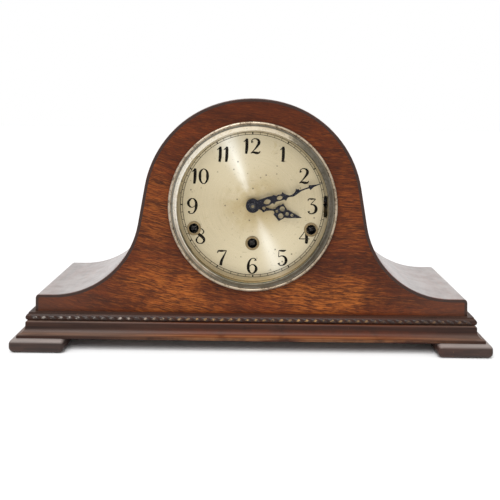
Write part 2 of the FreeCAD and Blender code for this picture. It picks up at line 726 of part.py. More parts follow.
def tambour(inset):
    """Points and bends of the tambour outline, left to right over the top."""
    inset = known(inset)
    top = CASE_FLOOR + s.case_height
    shoulder = CASE_FLOOR + s.shoulder_height
    crown = s.crown_radius - inset
    haunch = s.haunch_radius - inset
    sweep = s.sweep_radius + inset
    crown_z = top - s.crown_radius
    shift = s.crown_radius - s.haunch_radius
    haunch_x = shift * sine(s.crown_angle)
    haunch_z = crown_z + shift * cosine(s.crown_angle)
    lean_x, lean_z = cosine(s.flank_angle), sine(s.flank_angle)
    flank_z = haunch_z + s.haunch_radius * lean_z
    drop = flank_z + s.sweep_radius * lean_z - shoulder - s.sweep_radius
    flank_x = haunch_x + s.haunch_radius * lean_x
    sweep_x = flank_x + drop * lean_z / lean_x + s.sweep_radius * lean_x
    sweep_z = shoulder + s.sweep_radius
    end = s.case_half - s.end_radius
    right = [
        (crown * sine(s.crown_angle), crown_z + crown * cosine(s.crown_angle)),
        (haunch_x + haunch * lean_x, haunch_z + haunch * lean_z),
        (sweep_x - sweep * lean_x, sweep_z - sweep * lean_z),
        (sweep_x, shoulder - inset),
        (end, shoulder - inset),
        (s.case_half - inset, shoulder - s.end_radius),
        (s.case_half - inset, CASE_FLOOR),
    ]
    bends = [(haunch, -1), None, (sweep, 1), None, (s.end_radius - inset, -1), None]
    left = [(-x, z) for x, z in reversed(right)]
    return left + right, list(reversed(bends)) + [(crown, -1)] + bends


def follow(outline, points, bends):
    """Carries an outline on through points, with the bend before each one."""
    for (x, z), bend in zip(points, bends):
        if bend is None:
            outline.line(x, z)
        else:
            outline.arc(x, z, *bend)
    return outline


def tambour_face(inset):
    points, bends = tambour(inset)
    return follow(Loop(*points[0]), points[1:], bends).close()


def door_outline(inset):
    half = s.door_half - inset
    spring = CASE_FLOOR + s.door_spring
    sill = CASE_FLOOR + s.door_sill + inset
    outline = Loop(-half, sill).line(half, sill).line(half, spring)
    outline.arc(0, spring + half, half, 1).arc(-half, spring, half, 1)
    return outline.close()


def ear_places():
    for side in (-1, 1):
        for rise in (-1, 1):
            yield side * s.ear_side, DIAL_Z + rise * s.ear_rise


def front_panel():
    body = new_body("front_panel")
    opening = Ring(0, DIAL_Z, TUBE_OUTER + s.pin_clearance)
    slab(body, [tambour_face(s.skin), opening], CASE_FRONT, s.board)
    holes = [Ring(x, z, s.screw_shank) for x, z in ear_places()]
    cut(body, holes, PANEL_BACK - s.screw_bite, s.screw_bite)
    finish(body, "front_panel")


def case_skin():
    body = new_body("case_skin")
    solid = slab(body, [tambour_face(0)], CASE_FRONT, s.case_depth)

    def at_front(edge):
        box_of = edge.BoundBox
        above = box_of.ZMax > CASE_FLOOR.value + s.skin.value
        return above and box_of.YMax < CASE_FRONT.value + s.skin.value

    soften(body, solid, at_front, s.skin_round)
    cut(body, [tambour_face(s.skin)], CASE_FRONT, s.case_depth)
    finish(body, "case_skin")


def base_board():
    low = (-s.case_half, CASE_FRONT, s.foot_height)
    finish(box("base_board", low, (s.case_half, CASE_BACK, CASE_FLOOR)), "base_board")


def back_frame():
    body = new_body("back_frame")
    faces = [tambour_face(s.skin), door_outline(known(0))]
    slab(body, faces, CASE_BACK - s.board, s.board)
    cut(body, [Ring(*BUTTON_AT, s.screw_shank)], CASE_BACK - s.screw_bite, s.screw_bite)
    finish(body, "back_frame")


def bead_section(side=1):
    """Section of the carved bead: (reach, height, bend) from its inner foot."""
    low = s.foot_height + s.plinth_height
    top = CASE_FLOOR
    return [
        (known(0), low, None),
        (s.bead_low_reach, low, None),
        (s.bead_top_reach, top - s.bead_fillet, (s.bead_radius, side)),
        (s.bead_top_reach, top, None),
        (known(0), top, None),
    ]


def plinth_section(side=1):
    """Section of the plinth moulding: fillet, cove, flat and ovolo."""
    top = s.foot_height + s.plinth_height
    flat_top = top - s.ovolo_drop
    flat_low = flat_top - s.ovolo_flat
    cove_low = flat_low - s.cove_drop
    return [
        (known(0), s.foot_height, None),
        (s.plinth_reach, s.foot_height, None),
        (s.plinth_reach, cove_low, None),
        (s.ovolo_reach, flat_low, (s.cove_radius, -side)),
        (s.ovolo_reach, flat_top, None),
        (s.plinth_top_reach, top, (s.ovolo_radius, side)),
        (known(0), top, None),
    ]


def section_loop(section, place):
    outline = Loop(*place(section[0][0], section[0][1]))
    for reach, height, bend in section[1:]:
        if bend is None:
            outline.line(*place(reach, height))
        else:
            outline.arc(*place(reach, height), *bend)
    return outline.close()


def moulding_front(label, section, low, top):
    """The moulding across the front, mitred at both ends."""
    body = new_body(label)
    end = s.case_half + s.plinth_reach
    profile = section_loop(section(-1), lambda reach, z: (CASE_FRONT - reach, z))
    extrude(body, "Pad", sketch_on(body, "YZ_Plane", -end, [profile]), end * 2)
    reach = s.plinth_reach + s.overrun
    corners = []
    for side in (-1, 1):
        tip = side * (s.case_half + reach)
        mitre = Loop(side * s.case_half, CASE_FRONT).line(tip, CASE_FRONT - reach)
        corners.append(mitre.line(tip, CASE_FRONT + s.overrun).line(
            side * s.case_half, CASE_FRONT + s.overrun).close())
    sketch = sketch_on(body, "XY_Plane", top, corners)
    extrude(body, "Pocket", sketch, top - low)
    finish(body, label)


def moulding_sides(label, section, low, top):
    """The two returns along the ends, mitred to the front moulding."""
    body = new_body(label)
    body.AllowCompound = True
    front = CASE_FRONT - s.plinth_reach
    profiles = []
    for side in (-1, 1):
        def place(reach, z, side=side):
            return side * (s.case_half + reach), z
        profiles.append(section_loop(section(side), place))
    slab(body, profiles, front, s.case_depth + s.plinth_reach)
    reach = s.plinth_reach + s.overrun
    corners = []
    for side in (-1, 1):
        tip = side * (s.case_half + reach)
        mitre = Loop(side * s.case_half, CASE_FRONT).line(tip, CASE_FRONT - reach)
        corners.append(mitre.line(side * (s.case_half - s.overrun), CASE_FRONT - reach).line(
            side * (s.case_half - s.overrun), CASE_FRONT).close())
    sketch = sketch_on(body, "XY_Plane", top, corners)
    extrude(body, "Pocket", sketch, top - low)
    finish(body, label)


def foot(label, side):
    """A runner foot from front to back, round on all its edges."""
    body = new_body(label)
    outer = s.case_half + s.foot_reach
    inner = outer - s.foot_width
    low, high = (inner, outer) if side > 0 else (-outer, -inner)
    plan = rectangle(low, CASE_FRONT - s.foot_reach, high, CASE_BACK)
    pad = extrude(body, "Pad", sketch_on(body, "XY_Plane", 0, [plan]), s.foot_height)

    def upright(edge):
        return edge.BoundBox.ZLength > s.foot_height.value / 2

    upright_round = soften(body, pad, upright, s.foot_corner_round)

    def at_top(edge):
        return edge.BoundBox.ZMin > s.foot_height.value / 2

    def at_floor(edge):
        return edge.BoundBox.ZMax < s.foot_height.value / 2

    top_round = soften(body, upright_round, at_top, s.foot_top_round)
    soften(body, top_round, at_floor, s.foot_low_round)
    finish(body, label)


# Back door

BUTTON_AT = (s.door_half + s.button_offset, CASE_FLOOR + s.button_height)
HINGE_Y = CASE_BACK + s.knuckle + s.face_gap


def back_door():
    body = new_body("back_door")
    slab(body, [door_outline(s.door_gap)], CASE_BACK - s.board, s.board)
    finish(body, "back_door")


def hinge_heights():
    low = CASE_FLOOR + s.door_sill + s.hinge_inset
    high = CASE_FLOOR + s.door_spring - s.hinge_inset
    return low, high - s.leaf_height


def hinge_leaf(label, side, zones):
    """Leaves of the two door hinges; zones are the thirds that each knuckle fills."""
    leaves = []
    third = s.leaf_height / 3
    for n, low in enumerate(hinge_heights()):
        name = f"{label}_{n}"
        edge = s.knuckle + s.face_gap
        near, far = -s.door_half + side * edge, -s.door_half + side * s.leaf_width
        x0, x1 = (near, far) if side > 0 else (far, near)
        leaf_back = CASE_BACK + s.leaf_thick
        parts = [box(name, (x0, CASE_BACK, low), (x1, leaf_back, low + s.leaf_height))]
        for zone in zones:
            start = low + third * zone + (s.face_gap / 2 if zone else known(0))
            tall = third - s.face_gap / 2 - (s.face_gap / 2 if zone == 1 else known(0))
            axis = (-s.door_half, HINGE_Y, start)
            barrel = post(f"{name}_barrel{zone}", s.knuckle, tall, axis)
            x0, x1 = (-s.door_half, near) if side > 0 else (near, -s.door_half)
            tab = box(f"{name}_tab{zone}", (x0, CASE_BACK, start), (x1, leaf_back, start + tall))
            parts += [barrel, tab]
        whole = fuse(f"{name}_leaf", parts)
        bore = s.door_pin + s.pin_clearance
        axis = (-s.door_half, HINGE_Y, low)
        hole = post(f"{name}_hole", bore, s.leaf_height, axis)
        if side > 0:
            leaves.append(minus(f"{name}_bored", whole, hole))
            continue
        pin = post(f"{name}_pin", s.door_pin, s.leaf_height, axis)
        leaves.append(fuse(f"{name}_pinned", [whole, pin]))
    finish(group(label, leaves), label)


def turn_button():
    body = new_body("turn_button", BUTTON_AT)
    half = s.button_width / 2
    top = s.button_length - s.button_tail
    outline = Loop(-half, -s.button_tail + half).arc(0, -s.button_tail, half, 1)
    outline.arc(half, -s.button_tail + half, half, 1).line(half, top - half)
    outline.arc(0, top, half, 1).arc(-half, top - half, half, 1).close()
    hole = Ring(0, 0, s.screw_shank + s.pin_clearance)
    slab(body, [outline, hole], CASE_BACK, s.button_thick)
    finish(body, "turn_button")


def screw(name, at, tip, under_head):
    """A screw along Y from its tip to its head, with a slotted head."""
    body = new_body(name, at)
    end = under_head + s.head_thick
    turned(body, steps((s.screw_shank, tip, under_head), (s.screw_head, under_head, end)))
    slot_half = s.screw_shank / 4
    slot = rectangle(-s.screw_head, -slot_half, s.screw_head, slot_half)
    cut(body, [slot], end - s.head_thick / 2, s.head_thick)
    return body


def turn_button_screw():
    under = CASE_BACK + s.button_thick
    item = screw("turn_button_screw", BUTTON_AT, CASE_BACK - s.screw_bite, under)
    finish(item, "turn_button_screw")


# Dial and bezel

BEZEL_BACK = CASE_FRONT - s.flange_thick - s.bezel_gap
BEZEL_PIN = (s.bezel_hinge_side, CASE_FRONT - s.bezel_hinge_lead)
WINDING_PLACES = (GOING_AT, STRIKE_AT, CHIME_AT)


def long_slot(x, z, half, width):
    """An upright slot with round ends."""
    w = width / 2
    outline = Loop(x - w, z - half + w).arc(x, z - half, w, 1)
    outline.arc(x + w, z - half + w, w, 1).line(x + w, z + half - w)
    return outline.arc(x, z + half, w, 1).arc(x - w, z + half - w, w, 1).close()


def dial_plate():
    body = new_body("dial_plate")
    outlines = [Ring(0, DIAL_Z, s.dial_radius)]
    outlines.append(Ring(0, DIAL_Z, s.hour_pipe + s.face_gap))
    outlines += [Ring(x, z, s.collet_tube) for x, z in WINDING_PLACES]
    slot_z = DIAL_Z - s.slot_drop
    outlines.append(long_slot(s.slot_side, slot_z, s.slot_half, s.slot_width))
    slab(body, outlines, DIAL_FRONT, s.dial_thick)
    back = DIAL_FRONT + s.dial_thick
    slab(body, dial_feet(s.dial_foot), back, INSIDE - back)
    finish(body, "dial_plate")


def dial_feet(radius):
    feet = []
    for side in (-1, 1):
        for rise in (-1, 1):
            x, z = side * s.dial_foot_side, DIAL_Z + rise * s.dial_foot_rise
            feet.append(Ring(x, z, radius))
    return feet


def winding_collets():
    collets = []
    front, back = DIAL_FRONT - s.collet_lead, DIAL_FRONT + s.dial_thick + s.collet_tail
    for n, place in enumerate(WINDING_PLACES):
        body = new_body(f"collet_{n}", place)
        outline = Loop(s.collet_bore, front).line(s.collet_radius, front)
        outline.line(s.collet_radius, DIAL_FRONT).line(s.collet_tube, DIAL_FRONT)
        outline.line(s.collet_tube, back).line(s.collet_bore, back).close()
        turned(body, outline)
        collets.append(body)
    finish(group("winding_collets", collets), "winding_collets")


def bezel_mount():
    body = new_body("mount_ring", CENTRE)
    front = CASE_FRONT - s.flange_thick
    rim = TUBE_OUTER + s.flange_width
    outline = Loop(TUBE_INNER, front).line(rim, front).line(rim, CASE_FRONT)
    outline.line(TUBE_OUTER, CASE_FRONT).line(TUBE_OUTER, PANEL_BACK)
    turned(body, outline.line(TUBE_INNER, PANEL_BACK).close())
    low, high = DIAL_Z - s.bezel_knuckle_half, DIAL_Z + s.bezel_knuckle_half
    x, y = BEZEL_PIN
    leaf = box("mount_leaf", (TUBE_OUTER + s.face_gap, front, low), (x, CASE_FRONT, high))
    barrel = post("mount_knuckle", s.bezel_knuckle, high - low, (x, y, low))
    whole = fuse("mount_whole", [body, leaf, barrel])
    hole = post("mount_hole", s.bezel_pin, high - low, (x, y, low))
    finish(minus("bezel_mount", whole, hole), "bezel_mount")


def bezel_hinge_pin():
    x, y = BEZEL_PIN
    foot_at = (x, y, DIAL_Z - s.bezel_hinge_half)
    item = post("bezel_hinge_pin", s.bezel_pin, s.bezel_hinge_half * 2, foot_at)
    finish(item, "bezel_hinge_pin")


def bezel_ring():
    """Rolled edge, groove, slope and lip, with a notch for the hinge."""
    body = new_body("bezel_turned", CENTRE)

    def ahead(height):
        return BEZEL_BACK - height

    roll_z = s.roll_height - s.roll_radius
    groove_top = ahead(s.groove_height)
    outline = Loop(s.bezel_bore, BEZEL_BACK).line(s.bezel_back_radius, BEZEL_BACK)
    outline.line(s.bezel_radius, ahead(roll_z))
    roll_middle = s.bezel_radius - s.roll_radius
    outline.arc(roll_middle, ahead(s.roll_height), s.roll_radius, -1)
    outline.arc(roll_middle - s.roll_radius, ahead(roll_z), s.roll_radius, -1)
    outline.line(roll_middle - s.roll_radius, groove_top)
    outline.line(s.groove_inner, groove_top).line(s.groove_inner, ahead(s.slope_height))
    outline.line(s.lip_outer, ahead(s.lip_height))
    outline.arc(s.lip_inner, ahead(s.lip_height - s.lip_round), s.lip_round, -1)
    outline.line(s.lip_inner, ahead(s.seat_height)).line(s.seat_radius, ahead(s.seat_height))
    seat_back = ahead(s.seat_height - s.glass_thick - s.glass_gap)
    outline.line(s.seat_radius, seat_back).line(s.bezel_bore, seat_back).close()
    turned(body, outline)
    x, y = BEZEL_PIN
    room = s.bezel_knuckle + s.hinge_clearance
    low, high = DIAL_Z - s.bezel_hinge_half, DIAL_Z + s.bezel_hinge_half
    low_room, high_room = low - s.face_gap, high + s.face_gap
    notch = post("bezel_notch", room, high_room - low_room, (x, y, low_room))
    edge = s.bezel_radius + s.overrun
    relief = box("bezel_relief", (x - room, y, low_room), (edge, CASE_FRONT, high_room))
    notched = minus("bezel_notched", body, fuse("bezel_room", [notch, relief]))
    parts = [notched]
    gap = s.bezel_knuckle_half + s.face_gap
    half = s.bezel_knuckle / 2
    for n, start in enumerate((low, DIAL_Z + gap)):
        tall = s.bezel_hinge_half - gap
        parts.append(post(f"bezel_knuckle_{n}", s.bezel_knuckle, tall, (x, y, start)))
        lug_front = y - room - s.flange_thick
        corner = (x + half, y, start + tall)
        parts.append(box(f"bezel_lug_{n}", (x - half, lug_front, start), corner))
    whole = fuse("bezel_whole", parts)
    bore = s.bezel_pin + s.pin_clearance
    hole = post("bezel_pin_hole", bore, high - low, (x, y, low))
    finish(minus("bezel_ring", whole, hole), "bezel_ring")


def bezel_glass():
    body = new_body("bezel_glass", CENTRE)
    front = BEZEL_BACK - s.seat_height
    back = front + s.glass_thick
    rim = s.glass_rim
    rise = s.glass_rise
    dome = (rim * rim + rise * rise) / (rise * 2)
    outline = Loop(0, front - rise).arc(rim, front, dome, 1)
    outline.line(s.seat_radius - s.glass_gap, front)
    outline.line(s.seat_radius - s.glass_gap, back).line(rim, back)
    outline.arc(0, back - rise, dome, -1).close()
    turned(body, outline)
    finish(body, "bezel_glass")


# Hands, as shares of their length: (along, across), across to the left

HOUR_LEFT_SHARES = (
    (0.100, 0.045), (0.158, 0.037), (0.221, 0.053), (0.275, 0.028), (0.337, 0.023),
    (0.404, 0.028), (0.442, 0.042), (0.463, 0.080), (0.494, 0.122), (0.540, 0.147),
    (0.571, 0.177), (0.611, 0.148), (0.654, 0.105), (0.681, 0.080), (0.723, 0.079),
    (0.779, 0.061), (0.846, 0.040), (0.925, 0.021),
)
HOUR_RIGHT_SHARES = (
    (0.938, -0.020), (0.857, -0.037), (0.781, -0.063), (0.716, -0.078),
    (0.665, -0.081), (0.642, -0.110), (0.608, -0.140), (0.572, -0.174),
    (0.535, -0.147), (0.490, -0.105), (0.441, -0.075), (0.451, -0.036),
    (0.430, -0.006), (0.384, -0.008), (0.334, -0.022), (0.283, -0.041),
    (0.232, -0.084), (0.196, -0.056), (0.153, -0.042), (0.100, -0.045),
)
HOUR_HOLE_SHARES = (
    (0.225, 0.002, 0.034), (0.488, 0.003, 0.030), (0.581, 0.075, 0.050),
    (0.584, -0.066, 0.052), (0.697, 0.003, 0.036), (0.796, 0.000, 0.029),
)
MINUTE_LEFT_SHARES = (
    (0.060, 0.050), (0.116, 0.053), (0.158, 0.052), (0.224, 0.055), (0.269, 0.052),
    (0.286, 0.048), (0.307, 0.054), (0.331, 0.043), (0.341, 0.031), (0.367, 0.039),
    (0.402, 0.034), (0.416, 0.033), (0.436, 0.057), (0.450, 0.031), (0.469, 0.010),
    (0.511, -0.018), (0.547, -0.019), (0.580, -0.008), (0.606, 0.013), (0.624, 0.046),
    (0.632, 0.024), (0.650, 0.029), (0.659, 0.010), (0.696, 0.008), (0.743, 0.009),
    (0.790, 0.010), (0.802, 0.032), (0.840, 0.020), (0.906, 0.008),
)
MINUTE_RIGHT_SHARES = (
    (0.900, -0.008), (0.858, -0.012), (0.802, -0.036), (0.791, -0.011),
    (0.742, -0.008), (0.680, -0.012), (0.638, -0.026), (0.601, -0.039),
    (0.561, -0.047), (0.490, -0.037), (0.467, -0.050), (0.448, -0.071),
    (0.425, -0.050), (0.375, -0.050), (0.341, -0.044), (0.311, -0.043),
    (0.282, -0.070), (0.265, -0.047), (0.244, -0.050), (0.212, -0.062),
    (0.167, -0.058), (0.113, -0.050), (0.060, -0.050),
)
MINUTE_HOLE_SHARES = ((0.202, -0.007, 0.049), (0.377, -0.008, 0.040))
LENS_SHARE = 0.92
BOSS_SHARES = {"hour": 0.135, "minute": 0.092}


def hand(label, reach, angle, front, bore, sides, boss_share):
    """A pierced hand pointing up in its own frame, turned to its hour."""
    body = new_body(label, CENTRE, -angle)
    left, right = sides
    outline = Loop(-reach * left[0][1], reach * left[0][0])
    for along, across in left[1:]:
        outline.line(-reach * across, reach * along)
    outline.line(0, reach)
    for along, across in right:
        outline.line(-reach * across, reach * along)
    slab(body, [outline.close()], front, s.hand_thick)
    slab(body, [Ring(0, 0, reach * boss_share)], front, s.hand_thick)
    cut(body, [Ring(0, 0, bore)], front, s.hand_thick)
    return body


def hour_hand():
    reach = s.hour_hand_length
    front = CASE_FRONT + s.hour_hand_depth
    sides = (HOUR_LEFT_SHARES, HOUR_RIGHT_SHARES)
    share = BOSS_SHARES["hour"]
    angle = s.hour_hand_angle
    body = hand("hour_hand", reach, angle, front, s.hour_pipe, sides, share)
    holes = [Ring(-reach * b, reach * a, reach * r) for a, b, r in HOUR_HOLE_SHARES]
    cut(body, holes, front, s.hand_thick)
    finish(body, "hour_hand")


def minute_hand():
    reach = s.minute_hand_length
    front = CASE_FRONT - s.minute_hand_stand
    sides = (MINUTE_LEFT_SHARES, MINUTE_RIGHT_SHARES)
    share = BOSS_SHARES["minute"]
    angle = s.minute_hand_angle
    body = hand("minute_hand", reach, angle, front, s.cannon_pipe, sides, share)
    lenses = []
    for along, across, half in MINUTE_HOLE_SHARES:
        x, low, high = -reach * across, reach * (along - half), reach * (along + half)
        bend = reach * half / LENS_SHARE
        lenses.append(Loop(x, low).arc(x, high, bend, 1).close(bend, 1))
    cut(body, lenses, front, s.hand_thick)
    finish(body, "minute_hand")


def hand_nut():
    body = new_body("hand_nut", CENTRE)
    back = CASE_FRONT - s.minute_hand_stand
    front = CASE_FRONT - s.nut_stand
    neck = s.nut_radius - s.hand_thick
    outline = Loop(s.centre_arbor, front).line(neck, front)
    outline.arc(s.nut_radius, front + s.hand_thick, s.hand_thick, 1)
    outline.line(s.nut_radius, back).line(s.centre_arbor, back).close()
    turned(body, outline)
    finish(body, "hand_nut")


# Motion work


def cannon_pinion():
    body = new_body("cannon_pinion", CENTRE)
    front = CASE_FRONT - s.minute_hand_stand
    back = FRONT_PLATE - s.face_gap
    turned(body, steps((s.cannon_pipe, front, back)))
    rim = FRONT_PLATE - s.cannon_lead
    wide = s.minute_wheel_lead - s.face_gap
    teeth(body, s.cannon_teeth, s.cannon_module, PINION_TOOTH_SHARES, rim, wide)
    cut(body, [Ring(0, 0, s.centre_arbor)], front, back - front)
    finish(body, "cannon_pinion")


MINUTE_TURN = mesh_turn(CENTRE, s.cannon_teeth, known(0), MINUTE_AT, s.minute_teeth)
HOUR_TURN = mesh_turn(MINUTE_AT, s.minute_pinion_teeth, MINUTE_TURN, CENTRE, s.hour_teeth)


def minute_wheel():
    body = new_body("minute_wheel", MINUTE_AT, MINUTE_TURN)
    rim = FRONT_PLATE - s.minute_wheel_lead
    front = FRONT_PLATE - s.hour_wheel_lead - s.face_gap
    teeth(body, s.minute_teeth, s.cannon_module, WHEEL_TOOTH_SHARES, rim, s.wheel_thick)
    teeth(body, s.minute_pinion_teeth, s.hour_module, PINION_TOOTH_SHARES, front, rim - front)
    hub = s.stud_radius * 2
    turned(body, steps((hub, rim, FRONT_PLATE - s.face_gap)))
    bore = Ring(0, 0, s.stud_radius + s.pin_clearance)
    cut(body, [bore], front, FRONT_PLATE - front)
    finish(body, "minute_wheel")


def hour_wheel():
    body = new_body("hour_wheel", CENTRE, HOUR_TURN)
    rim = FRONT_PLATE - s.hour_wheel_lead
    front = CASE_FRONT + s.hour_hand_depth
    back = rim + s.wheel_thick
    turned(body, steps((s.hour_pipe, front, back)))
    teeth(body, s.hour_teeth, s.hour_module, WHEEL_TOOTH_SHARES, rim, s.wheel_thick)
    cut(body, [Ring(0, 0, s.cannon_pipe + s.pin_clearance)], front, back - front)
    finish(body, "hour_wheel")


# Movement frame

CLICK_RADIUS = s.ratchet_radius + s.face_gap + s.click_hub


def click_place(winding):
    """Pivot of the click whose nose meets the ratchet at the click angle."""
    out_x, out_z = cosine(s.click_angle), sine(s.click_angle)
    x = winding[0] + CLICK_RADIUS * out_x - s.click_length * out_z
    return x, winding[1] + CLICK_RADIUS * out_z + s.click_length * out_x


def pillar_places():
    side = s.plate_half - s.pillar_inset
    for x in (-side, side):
        yield x, DIAL_Z - s.plate_drop + s.pillar_inset
        yield x, DIAL_Z + s.plate_rise - s.pillar_inset


def plate_outline():
    low, high = DIAL_Z - s.plate_drop, DIAL_Z + s.plate_rise
    return rounded(-s.plate_half, low, s.plate_half, high, s.plate_corner)


def pivot_rings():
    """Pivot holes of the plates, apart from the chime drum's."""
    heavy = s.pivot + s.pin_clearance
    fine = s.fine_pivot + s.pin_clearance
    rings = [Ring(*place, heavy) for place in (INTER_AT, STRIKE_WHEEL_AT)]
    rings += [Ring(*place, fine) for place in (THIRD_AT, ESCAPE_AT)]
    return rings + [Ring(*place, s.screw_shank) for place in pillar_places()]


def front_plate():
    body = new_body("front_plate")
    slab(body, [plate_outline()], FRONT_PLATE, s.plate_thick)
    ears = []
    for x, z in ear_places():
        outer = s.ear_side + s.ear_half
        inner = s.plate_half - s.plate_corner
        low, high = (inner, outer) if x.value > 0 else (-outer, -inner)
        ears.append(rounded(low, z - s.ear_half, high, z + s.ear_half, s.ear_half / 2))
    slab(body, ears, FRONT_PLATE, s.plate_thick)
    rings = pivot_rings() + dial_feet(s.dial_foot + s.pin_clearance)
    rings.append(Ring(*CHIME_DRUM_AT, s.pivot + s.pin_clearance))
    rings += [Ring(*place, s.winding_arbor + s.pin_clearance) for place in WINDING_PLACES]
    rings.append(Ring(*CENTRE, s.centre_arbor + s.pin_clearance))
    rings.append(Ring(*ANCHOR_AT, s.fine_pivot + s.pin_clearance))
    rings += [Ring(x, z, s.screw_shank) for x, z in ear_places()]
    cut(body, rings, FRONT_PLATE, s.plate_thick)
    front = FRONT_PLATE - s.hour_wheel_lead - s.face_gap * 2
    slab(body, [Ring(*MINUTE_AT, s.stud_radius)], front, FRONT_PLATE - front)
    front = CASE_FRONT + s.lever_depth - s.face_gap
    slab(body, [Ring(*LEVER_AT, s.stud_radius)], front, FRONT_PLATE - front)
    front = FRONT_PLATE - s.face_gap * 2 - s.click_thick
    studs = [Ring(*click_place(place), s.stud_radius) for place in WINDING_PLACES]
    slab(body, studs, front, FRONT_PLATE - front)
    finish(body, "front_plate")


def back_plate():
    body = new_body("back_plate")
    slab(body, [plate_outline()], BACK_PLATE, s.plate_thick)
    rings = pivot_rings()
    rings += [Ring(*place, s.pivot * 2 + s.pin_clearance) for place in WINDING_PLACES]
    rings.append(Ring(*CHIME_DRUM_AT, s.arbor + s.pin_clearance))
    rings.append(Ring(*CENTRE, s.pivot + s.pin_clearance))
    rings.append(Ring(*ANCHOR_AT, s.fine_arbor + s.pin_clearance))
    cut(body, rings, BACK_PLATE, s.plate_thick)
    finish(body, "back_plate")


def plate_pillars():
    pillars = []
    for n, place in enumerate(pillar_places()):
        body = new_body(f"pillar_{n}", place)
        third = s.plate_gap / 3
        rings = (
            (s.screw_shank, FRONT_PLATE, INSIDE),
            (s.pillar_radius, INSIDE, INSIDE + third),
            (s.pillar_waist, INSIDE + third, BACK_PLATE - third),
            (s.pillar_radius, BACK_PLATE - third, BACK_PLATE),
            (s.screw_shank, BACK_PLATE, BEHIND),
        )
        turned(body, steps(*rings))
        pillars.append(body)
    finish(group("plate_pillars", pillars), "plate_pillars")


def movement_posts():
    posts = []
    for n, (x, z) in enumerate(ear_places()):
        body = new_body(f"post_{n}", (x, z))
        rings = [Ring(0, 0, s.post_radius), Ring(0, 0, s.screw_shank)]
        slab(body, rings, PANEL_BACK, FRONT_PLATE - PANEL_BACK)
        posts.append(body)
    finish(group("movement_posts", posts), "movement_posts")


def movement_screws():
    tip = PANEL_BACK - s.screw_bite
    places = enumerate(ear_places())
    screws = [screw(f"ear_screw_{n}", place, tip, INSIDE) for n, place in places]
    finish(group("movement_screws", screws), "movement_screws")


# Barrels and winding

GREAT_FRONT = INSIDE + s.great_depth
NAMES = {"going": GOING_AT, "strike": STRIKE_AT, "chime": CHIME_AT}


def barrel(name):
    """A great wheel with the drum that holds the mainspring."""
    body = new_body(f"{name}_barrel", NAMES[name])
    drum = GREAT_FRONT + s.great_thick
    turned(body, steps((s.drum_radius, drum, drum + s.drum_length)))
    teeth(body, s.great_teeth, s.great_module, WHEEL_TOOTH_SHARES, GREAT_FRONT, s.great_thick)
    bore = Ring(0, 0, s.winding_arbor + s.pin_clearance)
    cut(body, [bore], GREAT_FRONT, s.great_thick + s.drum_length)
    finish(body, f"{name}_barrel")


def winding_arbor(name):
    """Square for the key, ratchet wheel and the arbor through the barrel."""
    body = new_body(f"{name}_winding_arbor", NAMES[name])
    square = CASE_FRONT + s.square_depth
    shoulder = square + s.square_length
    inner_end = BACK_PLATE - s.shake
    turned(body, steps((s.winding_arbor, shoulder, inner_end), (s.pivot * 2, inner_end, BEHIND)))
    half = s.winding_square
    slab(body, [rectangle(-half, -half, half, half)], square, s.square_length)
    rim = FRONT_PLATE - s.face_gap - s.ratchet_thick
    slab(body, [Ring(0, 0, s.ratchet_radius)], rim, s.ratchet_thick)
    reach = s.ratchet_radius + s.face_gap
    wide = s.ratchet_depth * 2
    gap = Loop(0, s.ratchet_radius - s.ratchet_depth).line(0, reach).line(-wide, reach)
    around(body, cut(body, [gap], rim, s.ratchet_thick), s.ratchet_teeth)
    finish(body, f"{name}_winding_arbor")


def click(name):
    """The click that stops a ratchet from running back."""
    body = new_body(f"{name}_click", click_place(NAMES[name]), s.click_angle - 90)
    front = FRONT_PLATE - s.face_gap - s.click_thick
    low = -s.click_hub
    nose = s.click_length
    outline = Loop(0, low).line(nose, low).line(nose, low + s.click_width / 2)
    outline.line(nose - s.click_width, low + s.click_width).line(0, low + s.click_width)
    slab(body, [outline.close()], front, s.click_thick)
    slab(body, [Ring(0, 0, s.click_hub)], front, s.click_thick)
    cut(body, [Ring(0, 0, s.stud_radius + s.pin_clearance)], front, s.click_thick)
    finish(body, f"{name}_click")


# Going train

INTER_TURN = mesh_turn(GOING_AT, s.great_teeth, known(0), INTER_AT, s.great_pinion_teeth)
CENTRE_TURN = mesh_turn(INTER_AT, s.inter_teeth, INTER_TURN, CENTRE, s.centre_pinion_teeth)
THIRD_TURN = mesh_turn(CENTRE, s.centre_teeth, CENTRE_TURN, THIRD_AT, s.third_pinion_teeth)
ESCAPE_TURN = mesh_turn(THIRD_AT, s.third_teeth, THIRD_TURN, ESCAPE_AT, s.escape_pinion_teeth)


def arbor_steps(pivot, thick):
    """A plain arbor between the plates, with its two pivots."""
    front, back = INSIDE + s.shake, BACK_PLATE - s.shake
    return ((pivot, FRONT_PLATE, front), (thick, front, back), (pivot, back, BEHIND))


def intermediate_wheel():
    body = new_body("intermediate_wheel", INTER_AT, INTER_TURN)
    turned(body, steps(*arbor_steps(s.pivot, s.arbor)))
    count = s.great_pinion_teeth
    teeth(body, count, s.great_module, PINION_TOOTH_SHARES, GREAT_FRONT, s.great_thick)
    rim = BACK_PLATE - s.inter_wheel_lead
    teeth(body, s.inter_teeth, s.inter_module, WHEEL_TOOTH_SHARES, rim, s.wheel_thick)
    windows(body, s.inter_module * s.inter_teeth / 2, rim, s.wheel_thick)
    finish(body, "intermediate_wheel")


